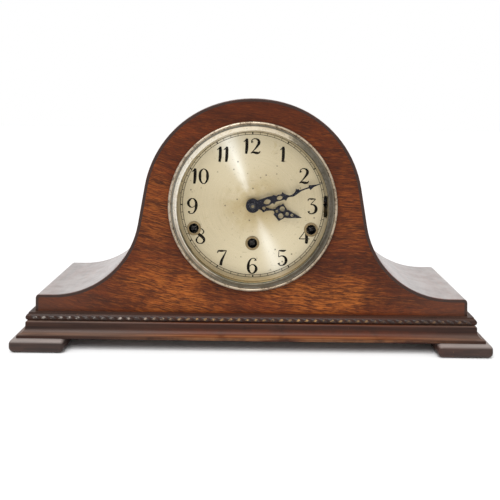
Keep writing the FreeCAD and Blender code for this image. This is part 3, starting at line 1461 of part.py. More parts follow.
def centre_wheel():
    body = new_body("centre_wheel", CENTRE, CENTRE_TURN)
    nut_front = CASE_FRONT - s.nut_stand
    front, back = INSIDE + s.shake, BACK_PLATE - s.shake
    rings = ((s.centre_arbor, nut_front, front), (s.arbor, front, back), (s.pivot, back, BEHIND))
    turned(body, steps(*rings))
    pinion = BACK_PLATE - s.centre_pinion_lead
    count = s.centre_pinion_teeth
    teeth(body, count, s.inter_module, PINION_TOOTH_SHARES, pinion, s.pinion_length)
    rim = BACK_PLATE - s.centre_wheel_lead
    teeth(body, s.centre_teeth, s.centre_module, WHEEL_TOOTH_SHARES, rim, s.wheel_thick)
    windows(body, s.centre_module * s.centre_teeth / 2, rim, s.wheel_thick)
    finish(body, "centre_wheel")


def third_wheel():
    body = new_body("third_wheel", THIRD_AT, THIRD_TURN)
    turned(body, steps(*arbor_steps(s.fine_pivot, s.fine_arbor)))
    pinion = BACK_PLATE - s.third_pinion_lead
    count = s.third_pinion_teeth
    teeth(body, count, s.centre_module, PINION_TOOTH_SHARES, pinion, s.pinion_length)
    rim = BACK_PLATE - s.third_wheel_lead
    teeth(body, s.third_teeth, s.third_module, WHEEL_TOOTH_SHARES, rim, s.wheel_thick)
    windows(body, s.third_module * s.third_teeth / 2, rim, s.wheel_thick)
    finish(body, "third_wheel")


def escape_wheel():
    body = new_body("escape_wheel", ESCAPE_AT, ESCAPE_TURN)
    turned(body, steps(*arbor_steps(s.fine_pivot, s.fine_arbor)))
    pinion = BACK_PLATE - s.escape_pinion_lead
    count = s.escape_pinion_teeth
    teeth(body, count, s.third_module, PINION_TOOTH_SHARES, pinion, s.pinion_length)
    rim = BACK_PLATE - s.escape_wheel_lead
    tip = s.escape_radius
    slab(body, [Ring(0, 0, tip)], rim, s.escape_thick)
    half, reach = s.escape_gap_half, tip + s.face_gap
    gap = Loop(0, tip - s.escape_depth).line(half, reach).line(-half, reach).close()
    around(body, cut(body, [gap], rim, s.escape_thick), s.escape_teeth)
    finish(body, "escape_wheel")


# Escapement and pendulum

CRUTCH_FRONT = BEHIND + s.shake * 2 + s.plate_thick
ROD_FRONT = BEHIND + s.rod_lead


def anchor():
    """Anchor, its arbor and the crutch that follows the pendulum rod."""
    body = new_body("anchor", ANCHOR_AT)
    front = INSIDE + s.shake
    crutch_back = CRUTCH_FRONT + s.hand_thick
    turned(body, steps((s.fine_pivot, FRONT_PLATE, front), (s.fine_arbor, front, crutch_back)))
    reach = s.escape_radius + s.pallet_gap
    nib_x = reach * sine(s.pallet_angle)
    nib_z = reach * cosine(s.pallet_angle) - s.anchor_height
    wide, thick = s.anchor_thick, s.anchor_thick
    hub = wide
    outline = Loop(nib_x, nib_z).line(nib_x + wide, nib_z + wide / 2)
    outline.line(nib_x + wide / 2, nib_z + wide * 3).line(0, hub + wide / 2)
    outline.line(-nib_x - wide / 2, nib_z + wide * 3).line(-nib_x - wide, nib_z + wide / 2)
    outline.line(-nib_x, nib_z).line(-nib_x + wide / 2, nib_z + wide * 2)
    outline.line(0, -wide / 2).line(nib_x - wide / 2, nib_z + wide * 2).close()
    slab(body, [outline], BACK_PLATE - s.anchor_lead, thick)
    low = -s.crutch_length
    arm = rectangle(-s.fine_arbor, low, s.fine_arbor, 0)
    slab(body, [arm], CRUTCH_FRONT, s.hand_thick)
    slab(body, [Ring(0, 0, s.fine_arbor * 2)], CRUTCH_FRONT, s.hand_thick)
    near = s.rod_width / 2 + s.face_gap
    far = near + s.hand_thick
    foot_bar = rectangle(-far, low - s.hand_thick, far, low)
    slab(body, [foot_bar], CRUTCH_FRONT, s.hand_thick)
    fork = [rectangle(x, low - s.hand_thick, x + s.hand_thick, low) for x in (-far, near)]
    slab(body, fork, CRUTCH_FRONT, ROD_FRONT + s.rod_thick * 2 - CRUTCH_FRONT)
    finish(body, "anchor")


def suspension_cock():
    body = new_body("suspension_cock", ANCHOR_AT)
    half = s.cock_half
    clear = s.eye_radius + s.hand_thick
    cheek = ROD_FRONT + s.rod_thick * 2
    thick = s.plate_thick
    bridge = rectangle(-half, clear, half, s.cock_rise)
    slab(body, [bridge], BEHIND, cheek + thick - BEHIND)
    slab(body, [rectangle(-half, -half / 2, half, s.cock_rise)], cheek, thick)
    pin_front = ROD_FRONT - s.rod_thick / 2
    slab(body, [Ring(0, 0, s.suspension_pin)], pin_front, cheek - pin_front)
    finish(body, "suspension_cock")


def pendulum_rod():
    body = new_body("pendulum_rod", ANCHOR_AT)
    half = s.rod_width / 2
    low = -(s.pendulum_length + s.bob_radius + s.eye_radius * 2)
    slab(body, [rectangle(-half, low, half, 0)], ROD_FRONT, s.rod_thick)
    slab(body, [Ring(0, 0, s.eye_radius)], ROD_FRONT, s.rod_thick)
    hole = Ring(0, 0, s.suspension_pin + s.pin_clearance)
    cut(body, [hole], ROD_FRONT, s.rod_thick)
    finish(body, "pendulum_rod")


def pendulum_bob():
    """A lens-shaped bob with a way through for the rod."""
    body = new_body("pendulum_bob", (ANCHOR_AT[0], ANCHOR_AT[1] - s.pendulum_length))
    middle = ROD_FRONT + s.rod_thick / 2
    half = s.bob_thick / 2
    radius = s.bob_radius
    edge = s.rod_thick / 2
    rise = half - edge
    bend = (radius * radius + rise * rise) / (rise * 2)
    outline = Loop(0, middle - half).arc(radius, middle - edge, bend, 1)
    outline.line(radius, middle + edge).arc(0, middle + half, bend, 1).close()
    turned(body, outline)
    reach = radius + s.overrun
    way = rectangle(-s.rod_width / 2, -reach, s.rod_width / 2, reach)
    cut(body, [way], ROD_FRONT, s.rod_thick)
    finish(body, "pendulum_bob")


def rating_nut():
    low = ANCHOR_AT[1] - s.pendulum_length - s.bob_radius - s.eye_radius
    middle = ROD_FRONT + s.rod_thick / 2
    nut = post("nut_blank", s.eye_radius, s.eye_radius, (0, middle, low))
    half = s.rod_width / 2
    way = box("nut_way", (-half, ROD_FRONT, low), (half, ROD_FRONT + s.rod_thick, low + s.eye_radius))
    finish(minus("rating_nut", nut, way), "rating_nut")


# Strike and chime

SIDE_TURN = mesh_turn(CHIME_AT, s.great_teeth, known(0), CHIME_DRUM_AT, s.great_pinion_teeth)
STRIKE_TURN = mesh_turn(STRIKE_AT, s.great_teeth, known(0), STRIKE_WHEEL_AT, s.great_pinion_teeth)
LAST_ROW = ROD_ROWS[-1]


def strike_wheel():
    body = new_body("strike_wheel", STRIKE_WHEEL_AT, STRIKE_TURN)
    turned(body, steps(*arbor_steps(s.pivot, s.arbor)))
    count = s.great_pinion_teeth
    teeth(body, count, s.great_module, PINION_TOOTH_SHARES, GREAT_FRONT, s.great_thick)
    rim = BACK_PLATE - s.centre_wheel_lead
    slab(body, [Ring(0, 0, s.pin_wheel)], rim, s.wheel_thick)
    windows(body, s.pin_wheel - s.strike_pin, rim, s.wheel_thick)
    pin = Ring(0, s.pin_wheel - s.strike_pin_inset, s.strike_pin)
    raised = slab(body, [pin], rim - s.wheel_thick, s.wheel_thick)
    around(body, raised, s.strike_pins)
    finish(body, "strike_wheel")


def chime_drum():
    """Pinned chime drum behind the back plate, on the side pinion's arbor."""
    body = new_body("chime_arbor", CHIME_DRUM_AT, SIDE_TURN)
    front = INSIDE + s.shake
    drum = ROD_ROWS[0] - s.rod_pitch / 2
    back = LAST_ROW + s.rod_pitch / 2
    rings = ((s.pivot, FRONT_PLATE, front), (s.arbor, front, drum), (s.pin_drum, drum, back))
    turned(body, steps(*rings))
    count = s.great_pinion_teeth
    teeth(body, count, s.great_module, PINION_TOOTH_SHARES, GREAT_FRONT, s.great_thick)
    x, z = CHIME_DRUM_AT
    pins = []
    tall = s.pin_drum + s.drum_pin_reach
    for n, row in enumerate(ROD_ROWS):
        for k in range(PINS_PER_ROW):
            angle = 360 / PINS_PER_ROW * k + ROW_LAG_DEGREES * n
            turn = FreeCAD.Rotation(V(0, 1, 0), angle)
            pins.append(post(f"pin_{n}_{k}", s.drum_pin, tall, (x, row, z), turn))
    finish(fuse("chime_drum", [body] + pins), "chime_drum")


def hammer_arbor():
    body = new_body("hammer_arbor", HAMMER_AT)
    flange = s.hammer_hub + s.hammer_shaft
    end = LAST_ROW + s.rod_pitch
    rings = ((flange, BEHIND, BEHIND + s.hand_thick), (s.hammer_shaft, BEHIND + s.hand_thick, end))
    turned(body, steps(*rings))
    finish(body, "hammer_arbor")


def hammer(number):
    """A hammer: hub, arm to its head and tail to the chime drum."""
    row = ROD_ROWS[number]
    label = f"chime_hammer_{number + 1}"
    body = new_body(f"hammer_{number}", HAMMER_AT)
    hub_half = s.rod_pitch / 2 - s.shake
    slab(body, [Ring(0, 0, s.hammer_hub)], row - hub_half, hub_half * 2)
    reach, fall = s.hammer_reach, s.hammer_fall
    arm = length(reach, fall)
    side_x = fall / arm * s.hammer_strip
    side_z = reach / arm * s.hammer_strip
    strip = Loop(-side_x, -side_z).line(reach - side_x, -fall - side_z)
    strip.line(reach + side_x, -fall + side_z).line(side_x, side_z).close()
    front = row - s.hammer_thick / 2
    slab(body, [strip], front, s.hammer_thick)
    way_x = CHIME_DRUM_AT[0] - HAMMER_AT[0]
    way_z = CHIME_DRUM_AT[1] - HAMMER_AT[1]
    far = length(way_x, way_z)
    tail = far - s.pin_drum - s.drum_pin_reach - s.tail_gap
    tip_x, tip_z = way_x / far * tail, way_z / far * tail
    side_x, side_z = way_z / far * s.hammer_strip, way_x / far * s.hammer_strip
    strip = Loop(-side_x, side_z).line(tip_x - side_x, tip_z + side_z)
    strip.line(tip_x + side_x, tip_z - side_z).line(side_x, -side_z).close()
    slab(body, [strip], front, s.hammer_thick)
    bore = Ring(0, 0, s.hammer_shaft + s.pin_clearance)
    cut(body, [bore], row - hub_half, hub_half * 2)
    lean = -direction(reach, -fall)
    half = s.hammer_head_length / 2
    x = HAMMER_AT[0] + reach - half * sine(lean)
    z = HAMMER_AT[1] - fall - half * cosine(lean)
    turn = FreeCAD.Rotation(V(0, 1, 0), lean.value)
    foot_at = (x, row, z)
    head = post(f"hammer_head_{number}", s.hammer_head, s.hammer_head_length, foot_at, turn)
    head.setExpression(".Placement.Rotation.Angle", f"{lean.text} * 1 deg")
    finish(fuse(label, [body, head]), label)


def gong_block():
    """Cast block on the base that holds the gong rods."""
    x0 = s.gong_block_side
    x1 = x0 + s.gong_block_width
    y0, y1 = ROD_ROWS[0] - s.gong_margin, LAST_ROW + s.gong_margin
    top = CASE_FLOOR + s.gong_block_top
    block = box("gong_upright", (x0, y0, CASE_FLOOR), (x1, y1, top))
    flange_top = CASE_FLOOR + s.gong_flange_thick
    low = (x0 - s.gong_flange, y0 - s.gong_flange, CASE_FLOOR)
    flange = box("gong_flange", low, (x1 + s.gong_flange, y1 + s.gong_flange, flange_top))
    holes = []
    for n, row in enumerate(ROD_ROWS):
        at = (x0, row, GONG_Z)
        holes.append(post(f"gong_hole_{n}", s.gong_rod, s.gong_block_width, at, ALONG_X))
    casting = fuse("gong_casting", [block, flange])
    finish(minus("gong_block", casting, fuse("gong_holes", holes)), "gong_block")


def gong_rods():
    rods = []
    for n, row in enumerate(ROD_ROWS):
        free = s.longest_rod - s.rod_step * n
        start = (s.gong_block_side - free, row, GONG_Z)
        rods.append(post(f"rod_{n}", s.gong_rod, free + s.gong_block_width, start, ALONG_X))
    finish(group("gong_rods", rods), "gong_rods")


def chime_silent_lever():
    body = new_body("chime_silent_lever", LEVER_AT, s.lever_angle)
    front = CASE_FRONT + s.lever_depth
    half = s.lever_width / 2
    reach = s.slot_side - s.lever_pivot_side
    strip = rectangle(0, -half, reach + half, half)
    slab(body, [strip], front, s.lever_thick)
    slab(body, [Ring(0, 0, s.lever_hub)], front, s.lever_thick)
    tip_front = DIAL_FRONT - s.lever_stand
    slab(body, [Ring(reach, 0, s.lever_tip)], tip_front, front - tip_front)
    hole = Ring(0, 0, s.stud_radius + s.pin_clearance)
    cut(body, [hole], front, s.lever_thick)
    finish(body, "chime_silent_lever")


PLINTH_TOP = s.foot_height + s.plinth_height

front_panel()
case_skin()
base_board()
back_frame()
moulding_front("bead_moulding_front", bead_section, PLINTH_TOP, CASE_FLOOR)
moulding_sides("bead_moulding_sides", bead_section, PLINTH_TOP, CASE_FLOOR)
moulding_front("plinth_moulding_front", plinth_section, s.foot_height, PLINTH_TOP)
moulding_sides("plinth_moulding_sides", plinth_section, s.foot_height, PLINTH_TOP)
foot("left_foot", -1)
foot("right_foot", 1)
back_door()
hinge_leaf("door_frame_leaves", -1, (1,))
hinge_leaf("door_leaves", 1, (0, 2))
turn_button()
turn_button_screw()
dial_plate()
winding_collets()
bezel_mount()
bezel_hinge_pin()
bezel_ring()
bezel_glass()
hour_hand()
minute_hand()
hand_nut()
cannon_pinion()
minute_wheel()
hour_wheel()
front_plate()
back_plate()
plate_pillars()
movement_posts()
movement_screws()
for train in NAMES:
    barrel(train)
    winding_arbor(train)
    click(train)
intermediate_wheel()
centre_wheel()
third_wheel()
escape_wheel()
anchor()
suspension_cock()
pendulum_rod()
pendulum_bob()
rating_nut()
strike_wheel()
chime_drum()
hammer_arbor()
for number in range(len(ROD_ROWS)):
    hammer(number)
gong_block()
gong_rods()
chime_silent_lever()

doc.recompute()

for item in doc.Objects:
    if "Invalid" in item.State or "Error" in item.State:
        raise RuntimeError(f"{item.Name} was not built: {item.State}")
for item in PIECES:
    if item.Shape.isNull() or not item.Shape.isValid():
        raise RuntimeError(f"{item.Label} is not a valid shape")

os.makedirs("parts", exist_ok=True)
for item in PIECES:
    item.Shape.exportStep(f"parts/{item.Label}.step")
print(len(PIECES), "pieces written")
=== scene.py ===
import math

import bpy
from mathutils import Matrix, Vector


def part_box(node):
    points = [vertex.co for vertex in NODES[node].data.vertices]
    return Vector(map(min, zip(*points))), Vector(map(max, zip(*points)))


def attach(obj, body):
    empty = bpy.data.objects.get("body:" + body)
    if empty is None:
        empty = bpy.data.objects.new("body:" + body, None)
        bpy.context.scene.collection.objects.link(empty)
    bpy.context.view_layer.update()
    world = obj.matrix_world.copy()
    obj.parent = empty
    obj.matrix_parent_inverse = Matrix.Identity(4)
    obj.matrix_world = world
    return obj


bl_info = {
    "name": "Tambour mantel clock",
    "version": (1, 0, 0),
    "blender": (4, 5, 0),
    "location": "3D View > Sidebar > Clock",
    "description": "Dial print, carved beads, finishes and stage for a tambour mantel clock",
    "category": "Object",
}

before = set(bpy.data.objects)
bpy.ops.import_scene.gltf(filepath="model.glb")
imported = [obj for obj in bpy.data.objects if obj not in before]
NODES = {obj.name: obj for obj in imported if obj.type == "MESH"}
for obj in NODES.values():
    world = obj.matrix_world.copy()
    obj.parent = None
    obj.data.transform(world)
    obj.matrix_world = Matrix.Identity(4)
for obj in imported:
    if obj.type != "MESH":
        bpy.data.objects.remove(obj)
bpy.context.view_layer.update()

MM = 0.001
CASE_LOW, CASE_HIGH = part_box("case_skin")
DIAL_LOW, DIAL_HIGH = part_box("dial_plate")
BEAD_LOW, BEAD_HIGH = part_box("bead_moulding_front")
CASE_FRONT = CASE_LOW.y
DIAL_FACE = DIAL_LOW.y
DIAL_CENTRE = (DIAL_LOW + DIAL_HIGH) / 2

# From where paint begins to where it is full: radii on the bezel and the dial, heights
# and distances from the middle on the case
WALL_END, SLOPE_END = (0.0700, 0.0706), (0.0739, 0.0744)
GROOVE_START, GROOVE_END = (0.0738, 0.0742), (0.0751, 0.0757)
ROLL_START = (0.0752, 0.0758)
DIAL_CLEAR, DIAL_MIDDLE, DIAL_RIM = (0.003, 0.022), (0.006, 0.042), (0.0645, 0.0700)
CASE_CROWN, CASE_ENDS = (0.195, 0.225), (0.105, 0.2)
FOOT_TOP, PLINTH_STEP = (0.0118, 0.0122), 0.0152
PLINTH_LOW, LOW_LEDGES = (0.0195, 0.0215), (0.0268, 0.0288)
FAN_TURN = math.radians(22)
PLAIN_GRAIN = (14, 14, 220)

# Colours that the panel doesn't offer
# Dial: a painted ray highlight, dark marks, and painted shade on its sides
DIAL_RAY_HIGHLIGHT, DIAL_MARK, DIAL_WALL_SHADE = (1.0, 0.97, 0.86), (0.12, 0.10, 0.07), (0.02, 0.017, 0.013)
# Bezel: painted shade for its lower inner side, and the colour of its groove
BEZEL_WALL_SHADE, BEZEL_GROOVE = (0.06, 0.06, 0.042), (0.05, 0.045, 0.035)
BEZEL_MARK = (0.05, 0.04, 0.03)
BLUED, DARK_NUT, BARE_STEEL = (0.010, 0.010, 0.014), (0.03, 0.03, 0.032), (0.12, 0.10, 0.09)
GLASS, GLASS_DUST = (0.30, 0.32, 0.31), (0.8, 0.8, 0.78)
INK, INK_WORN = (0.006, 0.004, 0.002), (0.026, 0.019, 0.012)
OLD_BRASS = (0.20, 0.15, 0.08)

# Sockets of a Mix node that hold colours
MIX_UNDER, MIX_OVER, MIX_RESULT = 6, 7, 2


# Materials: Python expressions that add shader nodes


class Value:
    """One output of a shader node; Python's operators carry it on as Math nodes."""

    def __init__(self, paint, socket):
        self.paint = paint
        self.socket = socket

    def math(self, operation, *others):
        node = self.paint.tree.nodes.new("ShaderNodeMath")
        node.operation = operation
        for place, value in zip(node.inputs, (self, *others)):
            self.paint.feed(place, value)
        return Value(self.paint, node.outputs[0])

    def __add__(self, other):
        return self.math("ADD", other)

    __radd__ = __add__

    def __sub__(self, other):
        return self.math("SUBTRACT", other)

    def __rsub__(self, other):
        return self.math("MULTIPLY", -1).math("ADD", other)

    def __mul__(self, other):
        return self.math("MULTIPLY", other)

    __rmul__ = __mul__

    def __truediv__(self, other):
        return self.math("DIVIDE", other)

    def __pow__(self, other):
        return self.math("POWER", other)

    def over(self, low, high):
        """1 where this is above high, 0 below low, smooth between."""
        settings = {"interpolation_type": "SMOOTHSTEP"}
        links = {"Value": self, "From Min": low, "From Max": high}
        return self.paint.node("ShaderNodeMapRange", settings, links)

    def under(self, low, high):
        """1 where this is below low, 0 above high, smooth between."""
        return 1 - self.over(low, high)


class Paint:
    """A Principled material under construction."""

    def __init__(self, name, **fixed):
        self.material = bpy.data.materials.new(name)
        self.material.use_nodes = True
        self.tree = self.material.node_tree
        self.shader = self.tree.nodes["Principled BSDF"]
        self.spot = self.node("ShaderNodeTexCoord", out="Object")
        for socket, value in fixed.items():
            self.shader.inputs[socket.replace("_", " ")].default_value = value

    def feed(self, place, value):
        if isinstance(value, Value):
            self.tree.links.new(value.socket, place)
        elif place.type == "RGBA":
            place.default_value = (*value, 1)
        else:
            place.default_value = value

    def node(self, kind, settings=None, links=None, out=0):
        node = self.tree.nodes.new(kind)
        for name, value in (settings or {}).items():
            setattr(node, name, value)
        for name, value in (links or {}).items():
            self.feed(node.inputs[name], value)
        return Value(self, node.outputs[out])

    def mapped(self, scale=(1, 1, 1), turn=(0, 0, 0), shift=(0, 0, 0), spot=None):
        angles = [math.radians(a) for a in turn]
        links = {"Vector": spot or self.spot, "Scale": scale, "Rotation": angles, "Location": shift}
        return self.node("ShaderNodeMapping", None, links)

    def noise(self, scale, detail, roughness=0.55, distortion=0.0, spot=None):
        links = {
            "Vector": spot or self.spot,
            "Scale": scale,
            "Detail": detail,
            "Roughness": roughness,
            "Distortion": distortion,
        }
        return self.node("ShaderNodeTexNoise", None, links)

    def cells(self, scale):
        """Distance to the nearest of many scattered points."""
        links = {"Vector": self.spot, "Scale": scale}
        return self.node("ShaderNodeTexVoronoi", None, links, "Distance")

    def blend(self, share, under, over):
        """One colour, covered by another as far as the share says."""
        links = {"Factor": share, MIX_UNDER: under, MIX_OVER: over}
        return self.node("ShaderNodeMix", {"data_type": "RGBA"}, links, MIX_RESULT)

    def part(self, axis, spot=None):
        return self.node("ShaderNodeSeparateXYZ", None, {"Vector": spot or self.spot}, axis)

    def facing(self, axis):
        """How far the surface faces along a frame axis, from -1 to 1."""
        normal = self.node("ShaderNodeNewGeometry", out="Normal")
        return self.part(axis, normal)

    def bump(self, height, distance, strength):
        links = {"Height": height, "Distance": distance, "Strength": strength}
        return self.node("ShaderNodeBump", None, links)

    def finish(self, **links):
        for socket, value in links.items():
            self.feed(self.shader.inputs[socket.replace("_", " ")], value)
        return self.material


def oval(paint, x, z, wide, tall):
    """1 inside a soft oval on the front, 0 outside; all in millimetres."""
    across = (paint.part("X") - x * MM) / (wide * MM)
    up = (paint.part("Z") - z * MM) / (tall * MM)
    return (across * across + up * up).under(0.1, 1.0)


def veneer(name, s):
    """Polished oak veneer: pores, flecks, warm patches, a darker crown and duller, greyer ends."""
    paint = Paint(name, Specular_IOR_Level=0.1, Coat_Weight=0.04, Coat_Roughness=0.12)
    x = paint.part("X")
    wander = paint.noise(12, 2, 0.5) * 0.014 - 0.007 + x * 0.13 - x * x * 0.4
    shift = paint.node("ShaderNodeCombineXYZ", None, {"Z": wander})
    bent = paint.node("ShaderNodeVectorMath", {"operation": "ADD"}, {0: paint.spot, 1: shift})
    bands = paint.noise(1.0, 5, 0.6, 0.3, paint.mapped(scale=(9, 9, 120), spot=bent))
    flecks = paint.noise(1.0, 3, 0.65, 0.2, paint.mapped(scale=(100, 55, 1150), spot=bent))
    pores = paint.noise(1.0, 2, 0.6, 0.0, paint.mapped(scale=(150, 90, 1500), spot=bent))
    clouds = paint.noise(19, 3, 0.55, 0.5)
    warm = oval(paint, -70, 56, 70, 34) * 0.85 + oval(paint, 66, 52, 66, 24) * 1.15
    warm = warm + oval(paint, 92, 140, 24, 60) * 0.35 + oval(paint, -92, 125, 22, 60) * 0.45
    warm = (warm + oval(paint, 0, 42, 190, 16) * 0.15).math("MINIMUM", 1.0)
    warm = warm * clouds.over(0.30, 0.56)
    color = paint.blend(bands.over(0.34, 0.64), s.dark, s.mid)
    color = paint.blend(clouds.under(0.36, 0.54) * 0.6, color, s.dark)
    color = paint.blend(warm * (0.12 + flecks.over(0.44, 0.62) * 0.62), color, s.light)
    color = paint.blend(flecks.over(0.54, 0.68) * 0.2, color, s.light)
    fibres = paint.noise(1.0, 3, 0.6, 0.3, paint.mapped(scale=(160, 80, 2400), spot=bent))
    color = paint.blend(fibres.over(0.52, 0.68) * (0.15 + warm * 0.4), color, s.light)
    color = paint.blend(flecks.under(0.36, 0.48) * 0.45, color, s.pore)
    color = paint.blend(pores.under(0.36, 0.44) * 0.6, color, s.pore)
    crown = paint.part("Z").over(*CASE_CROWN)
    color = paint.blend(crown * 0.55, color, s.dark)
    # Duller, greyer colour towards the ends
    ends = x.math("ABSOLUTE").over(*CASE_ENDS)
    color = paint.blend(ends * 0.6, color, s.dull)
    rough = 0.32 + pores * 0.2 - clouds * 0.06
    height = pores.over(0.3, 0.5) * 0.6 + flecks * 0.4
    normal = paint.bump(height, 0.00008, 0.5)
    return paint.finish(Base_Color=color, Roughness=rough, Normal=normal)


def bent_skin(name, s):
    """Bent outer skin: dark front edge, and where it faces up, faded varnish with a painted sheen
    and glossier varnish.
    """
    paint = Paint(name, Specular_IOR_Level=0.25, Coat_Roughness=0.14, Coat_IOR=1.8)
    bands = paint.noise(1.0, 5, 0.6, 0.3, paint.mapped(scale=(150, 9, 150)))
    pores = paint.noise(1.0, 3, 0.6, 0.1, paint.mapped(scale=(900, 70, 900)))
    clouds = paint.noise(24, 3, 0.55, 0.4)
    color = paint.blend(bands.over(0.34, 0.64), s.dark, s.mid)
    color = paint.blend(clouds.under(0.4, 0.55) * 0.5, color, s.dark)
    color = paint.blend(pores.under(0.36, 0.46) * 0.6, color, s.pore)
    # Where the skin faces up: faded varnish with a painted sheen, lighter towards the bloom colour
    up = paint.facing("Z").over(0.62, 0.96)
    dust = paint.noise(70, 4, 0.6).over(0.2, 0.75)
    fade_and_sheen = up * (0.28 + dust * 0.3 + bands * 0.1)
    color = paint.blend(fade_and_sheen, color, s.bloom)
    edge = (paint.facing("Y") * -1).over(0.7, 0.9)
    color = paint.blend(edge * 0.85, color, s.pore)
    rough = 0.3 + pores * 0.2 + fade_and_sheen * 0.12
    coat = 0.06 + paint.facing("Z").over(0.3, 0.9) * 0.54
    normal = paint.bump(pores.over(0.3, 0.5) * 0.6 + bands * 0.4, 0.00008, 0.4)
    return paint.finish(Base_Color=color, Roughness=rough, Coat_Weight=coat, Normal=normal)


def moulding_wood(name, s, grain=(16, 260, 420), dust=0.0):
    """Dark polished hardwood: redder in the middle, worn low down, pale on its ledges from a
    painted sheen.
    """
    paint = Paint(name, Specular_IOR_Level=0.12, Coat_Weight=0.05, Coat_Roughness=0.16)
    streaks = paint.noise(1.0, 4, 0.6, 0.3, paint.mapped(scale=grain))
    spots = paint.noise(55, 4, 0.65)
    fine = paint.noise(420, 3, 0.6)
    color = paint.blend(streaks.over(0.3, 0.7), s.moulding_dark, s.moulding)
    middle = (paint.part("X") - 0.035).math("ABSOLUTE").under(0.07, 0.18)
    z = paint.part("Z")
    low = z.under(*PLINTH_LOW)
    red = middle * (0.35 + spots.over(0.35, 0.65) * 0.65) * (0.25 + low * 0.75)
    color = paint.blend(red * 0.6, color, s.moulding_red)
    band = z.under(0.0146, PLINTH_STEP) * z.over(*FOOT_TOP)
    color = paint.blend(band * red * streaks.over(0.3, 0.6) * 0.5, color, s.worn)
    # A lighter line along the plinth's step: wear with a painted highlight
    edge = (z - PLINTH_STEP).math("ABSOLUTE").under(0.0002, 0.0005)
    color = paint.blend(edge * (0.25 + middle * 0.5) * streaks.over(0.3, 0.6), color, s.worn)
    color = paint.blend(spots.under(0.3, 0.42) * 0.7, color, s.pore)
    # Painted sheen on the ledges that face up, weaker above the low ledges
    ledge_sheen = paint.facing("Z").over(0.25, 0.95) * (0.5 + streaks * 0.5)
    ledge_sheen = ledge_sheen * (0.2 + z.under(*LOW_LEDGES) * 0.8)
    color = paint.blend(ledge_sheen * 0.6, color, paint.blend(middle, s.sheen, s.sheen_red))
    # Feet: an even lightening, and a painted highlight on their tops as far as dust says
    if dust:
        color = paint.blend(0.03 + ledge_sheen * dust, color, s.bloom)
    color = paint.blend(fine.over(0.68, 0.75) * 0.3, color, s.worn)
    rough = 0.28 + spots * 0.2 + fine * 0.08
    normal = paint.bump(streaks * 0.6 + fine * 0.4, 0.00006, 0.45)
    return paint.finish(Base_Color=color, Roughness=rough, Normal=normal)


def carved_wood(name, s, beads, along):
    """Carved leaves: darker in the gaps between them, with painted glints on the crests,
    gilt-coloured in the middle, grey at the left end and fading out to the right.
    """
    paint = Paint(name, Specular_IOR_Level=0.25, Coat_Weight=0.1, Coat_Roughness=0.2)
    slant = (paint.part("Z") - beads.level) * beads.slope
    phase = ((paint.part(along) + slant - beads.start) / beads.pitch).math("FRACT")
    crest = 1 - (phase - 0.5).math("ABSOLUTE") * 2
    spots = paint.noise(95, 4, 0.65)
    fine = paint.noise(600, 3, 0.6)
    color = paint.blend(spots.over(0.3, 0.7), s.moulding_dark, s.moulding)
    # Painted glints on an upper band of the crests, fading out towards the right
    ridge = (paint.part("Z") - beads.level - 0.0004).math("ABSOLUTE").under(0.0006, 0.0017)
    quiet = paint.part("X").over(0.05, 0.13)
    gilt = crest.over(0.45, 0.85) * ridge * (spots + fine).over(0.88, 1.14) * (1 - quiet * 0.75)
    far = (paint.part("X") * -1).over(0.04, 0.14)
    color = paint.blend(gilt * 0.7, color, paint.blend(far, s.gilt, s.glint))
    color = paint.blend(crest.under(0.06, 0.34) * 0.92, color, s.pore)
    rough = 0.3 + spots * 0.25
    normal = paint.bump(fine * 0.5 + spots * 0.5, 0.00008, 0.5)
    return paint.finish(Base_Color=color, Roughness=rough, Normal=normal)


def plain_wood(name, dark, light):
    """Stained wood left unpolished, for the back, the door and the base."""
    paint = Paint(name, IOR=1.45)
    streaks = paint.noise(1.0, 5, 0.6, 0.5, paint.mapped(scale=PLAIN_GRAIN))
    fine = tuple(g * 5 for g in PLAIN_GRAIN)
    pores = paint.noise(1.0, 2, 0.5, 0.0, paint.mapped(scale=fine))
    color = paint.blend(streaks.over(0.3, 0.7), dark, light)
    color = paint.blend(pores.under(0.34, 0.44) * 0.6, color, tuple(c * 0.35 for c in dark))
    rough = 0.55 + streaks * 0.2
    height = streaks * 0.5 + pores * 0.5
    return paint.finish(Base_Color=color, Roughness=rough, Normal=paint.bump(height, 0.00015, 0.6))


def metal(name, color, tarnish, rough, spots, amount, brushed=None, bore_shade=None):
    """A metal with tarnish spots, and brushed lines or a painted shade inside holes where they are
    given.
    """
    paint = Paint(name, Metallic=1.0)
    patches = paint.noise(spots, 5, 0.65, 0.4)
    specks = paint.noise(spots * 7, 3, 0.6)
    share = patches.over(0.5, 0.72) * amount + specks.over(0.62, 0.74) * amount * 0.7
    base = paint.blend(share.math("MINIMUM", 1.0), color, tarnish)
    # Painted shade inside holes: darker on faces turned away from the front
    if bore_shade:
        base = paint.blend((paint.facing("Y") * -1).under(0.5, 0.85), base, bore_shade)
    polish = rough + patches * 0.16 + share * 0.25
    height = specks * 0.4 + patches * 0.6
    if brushed:
        lines = paint.noise(1.0, 3, 0.7, 0.0, paint.mapped(scale=brushed))
        height = height * 0.3 + lines
        polish = polish + lines * 0.12
    normal = paint.bump(height, 0.00002, 0.5)
    return paint.finish(Base_Color=base, Roughness=polish, Normal=normal)


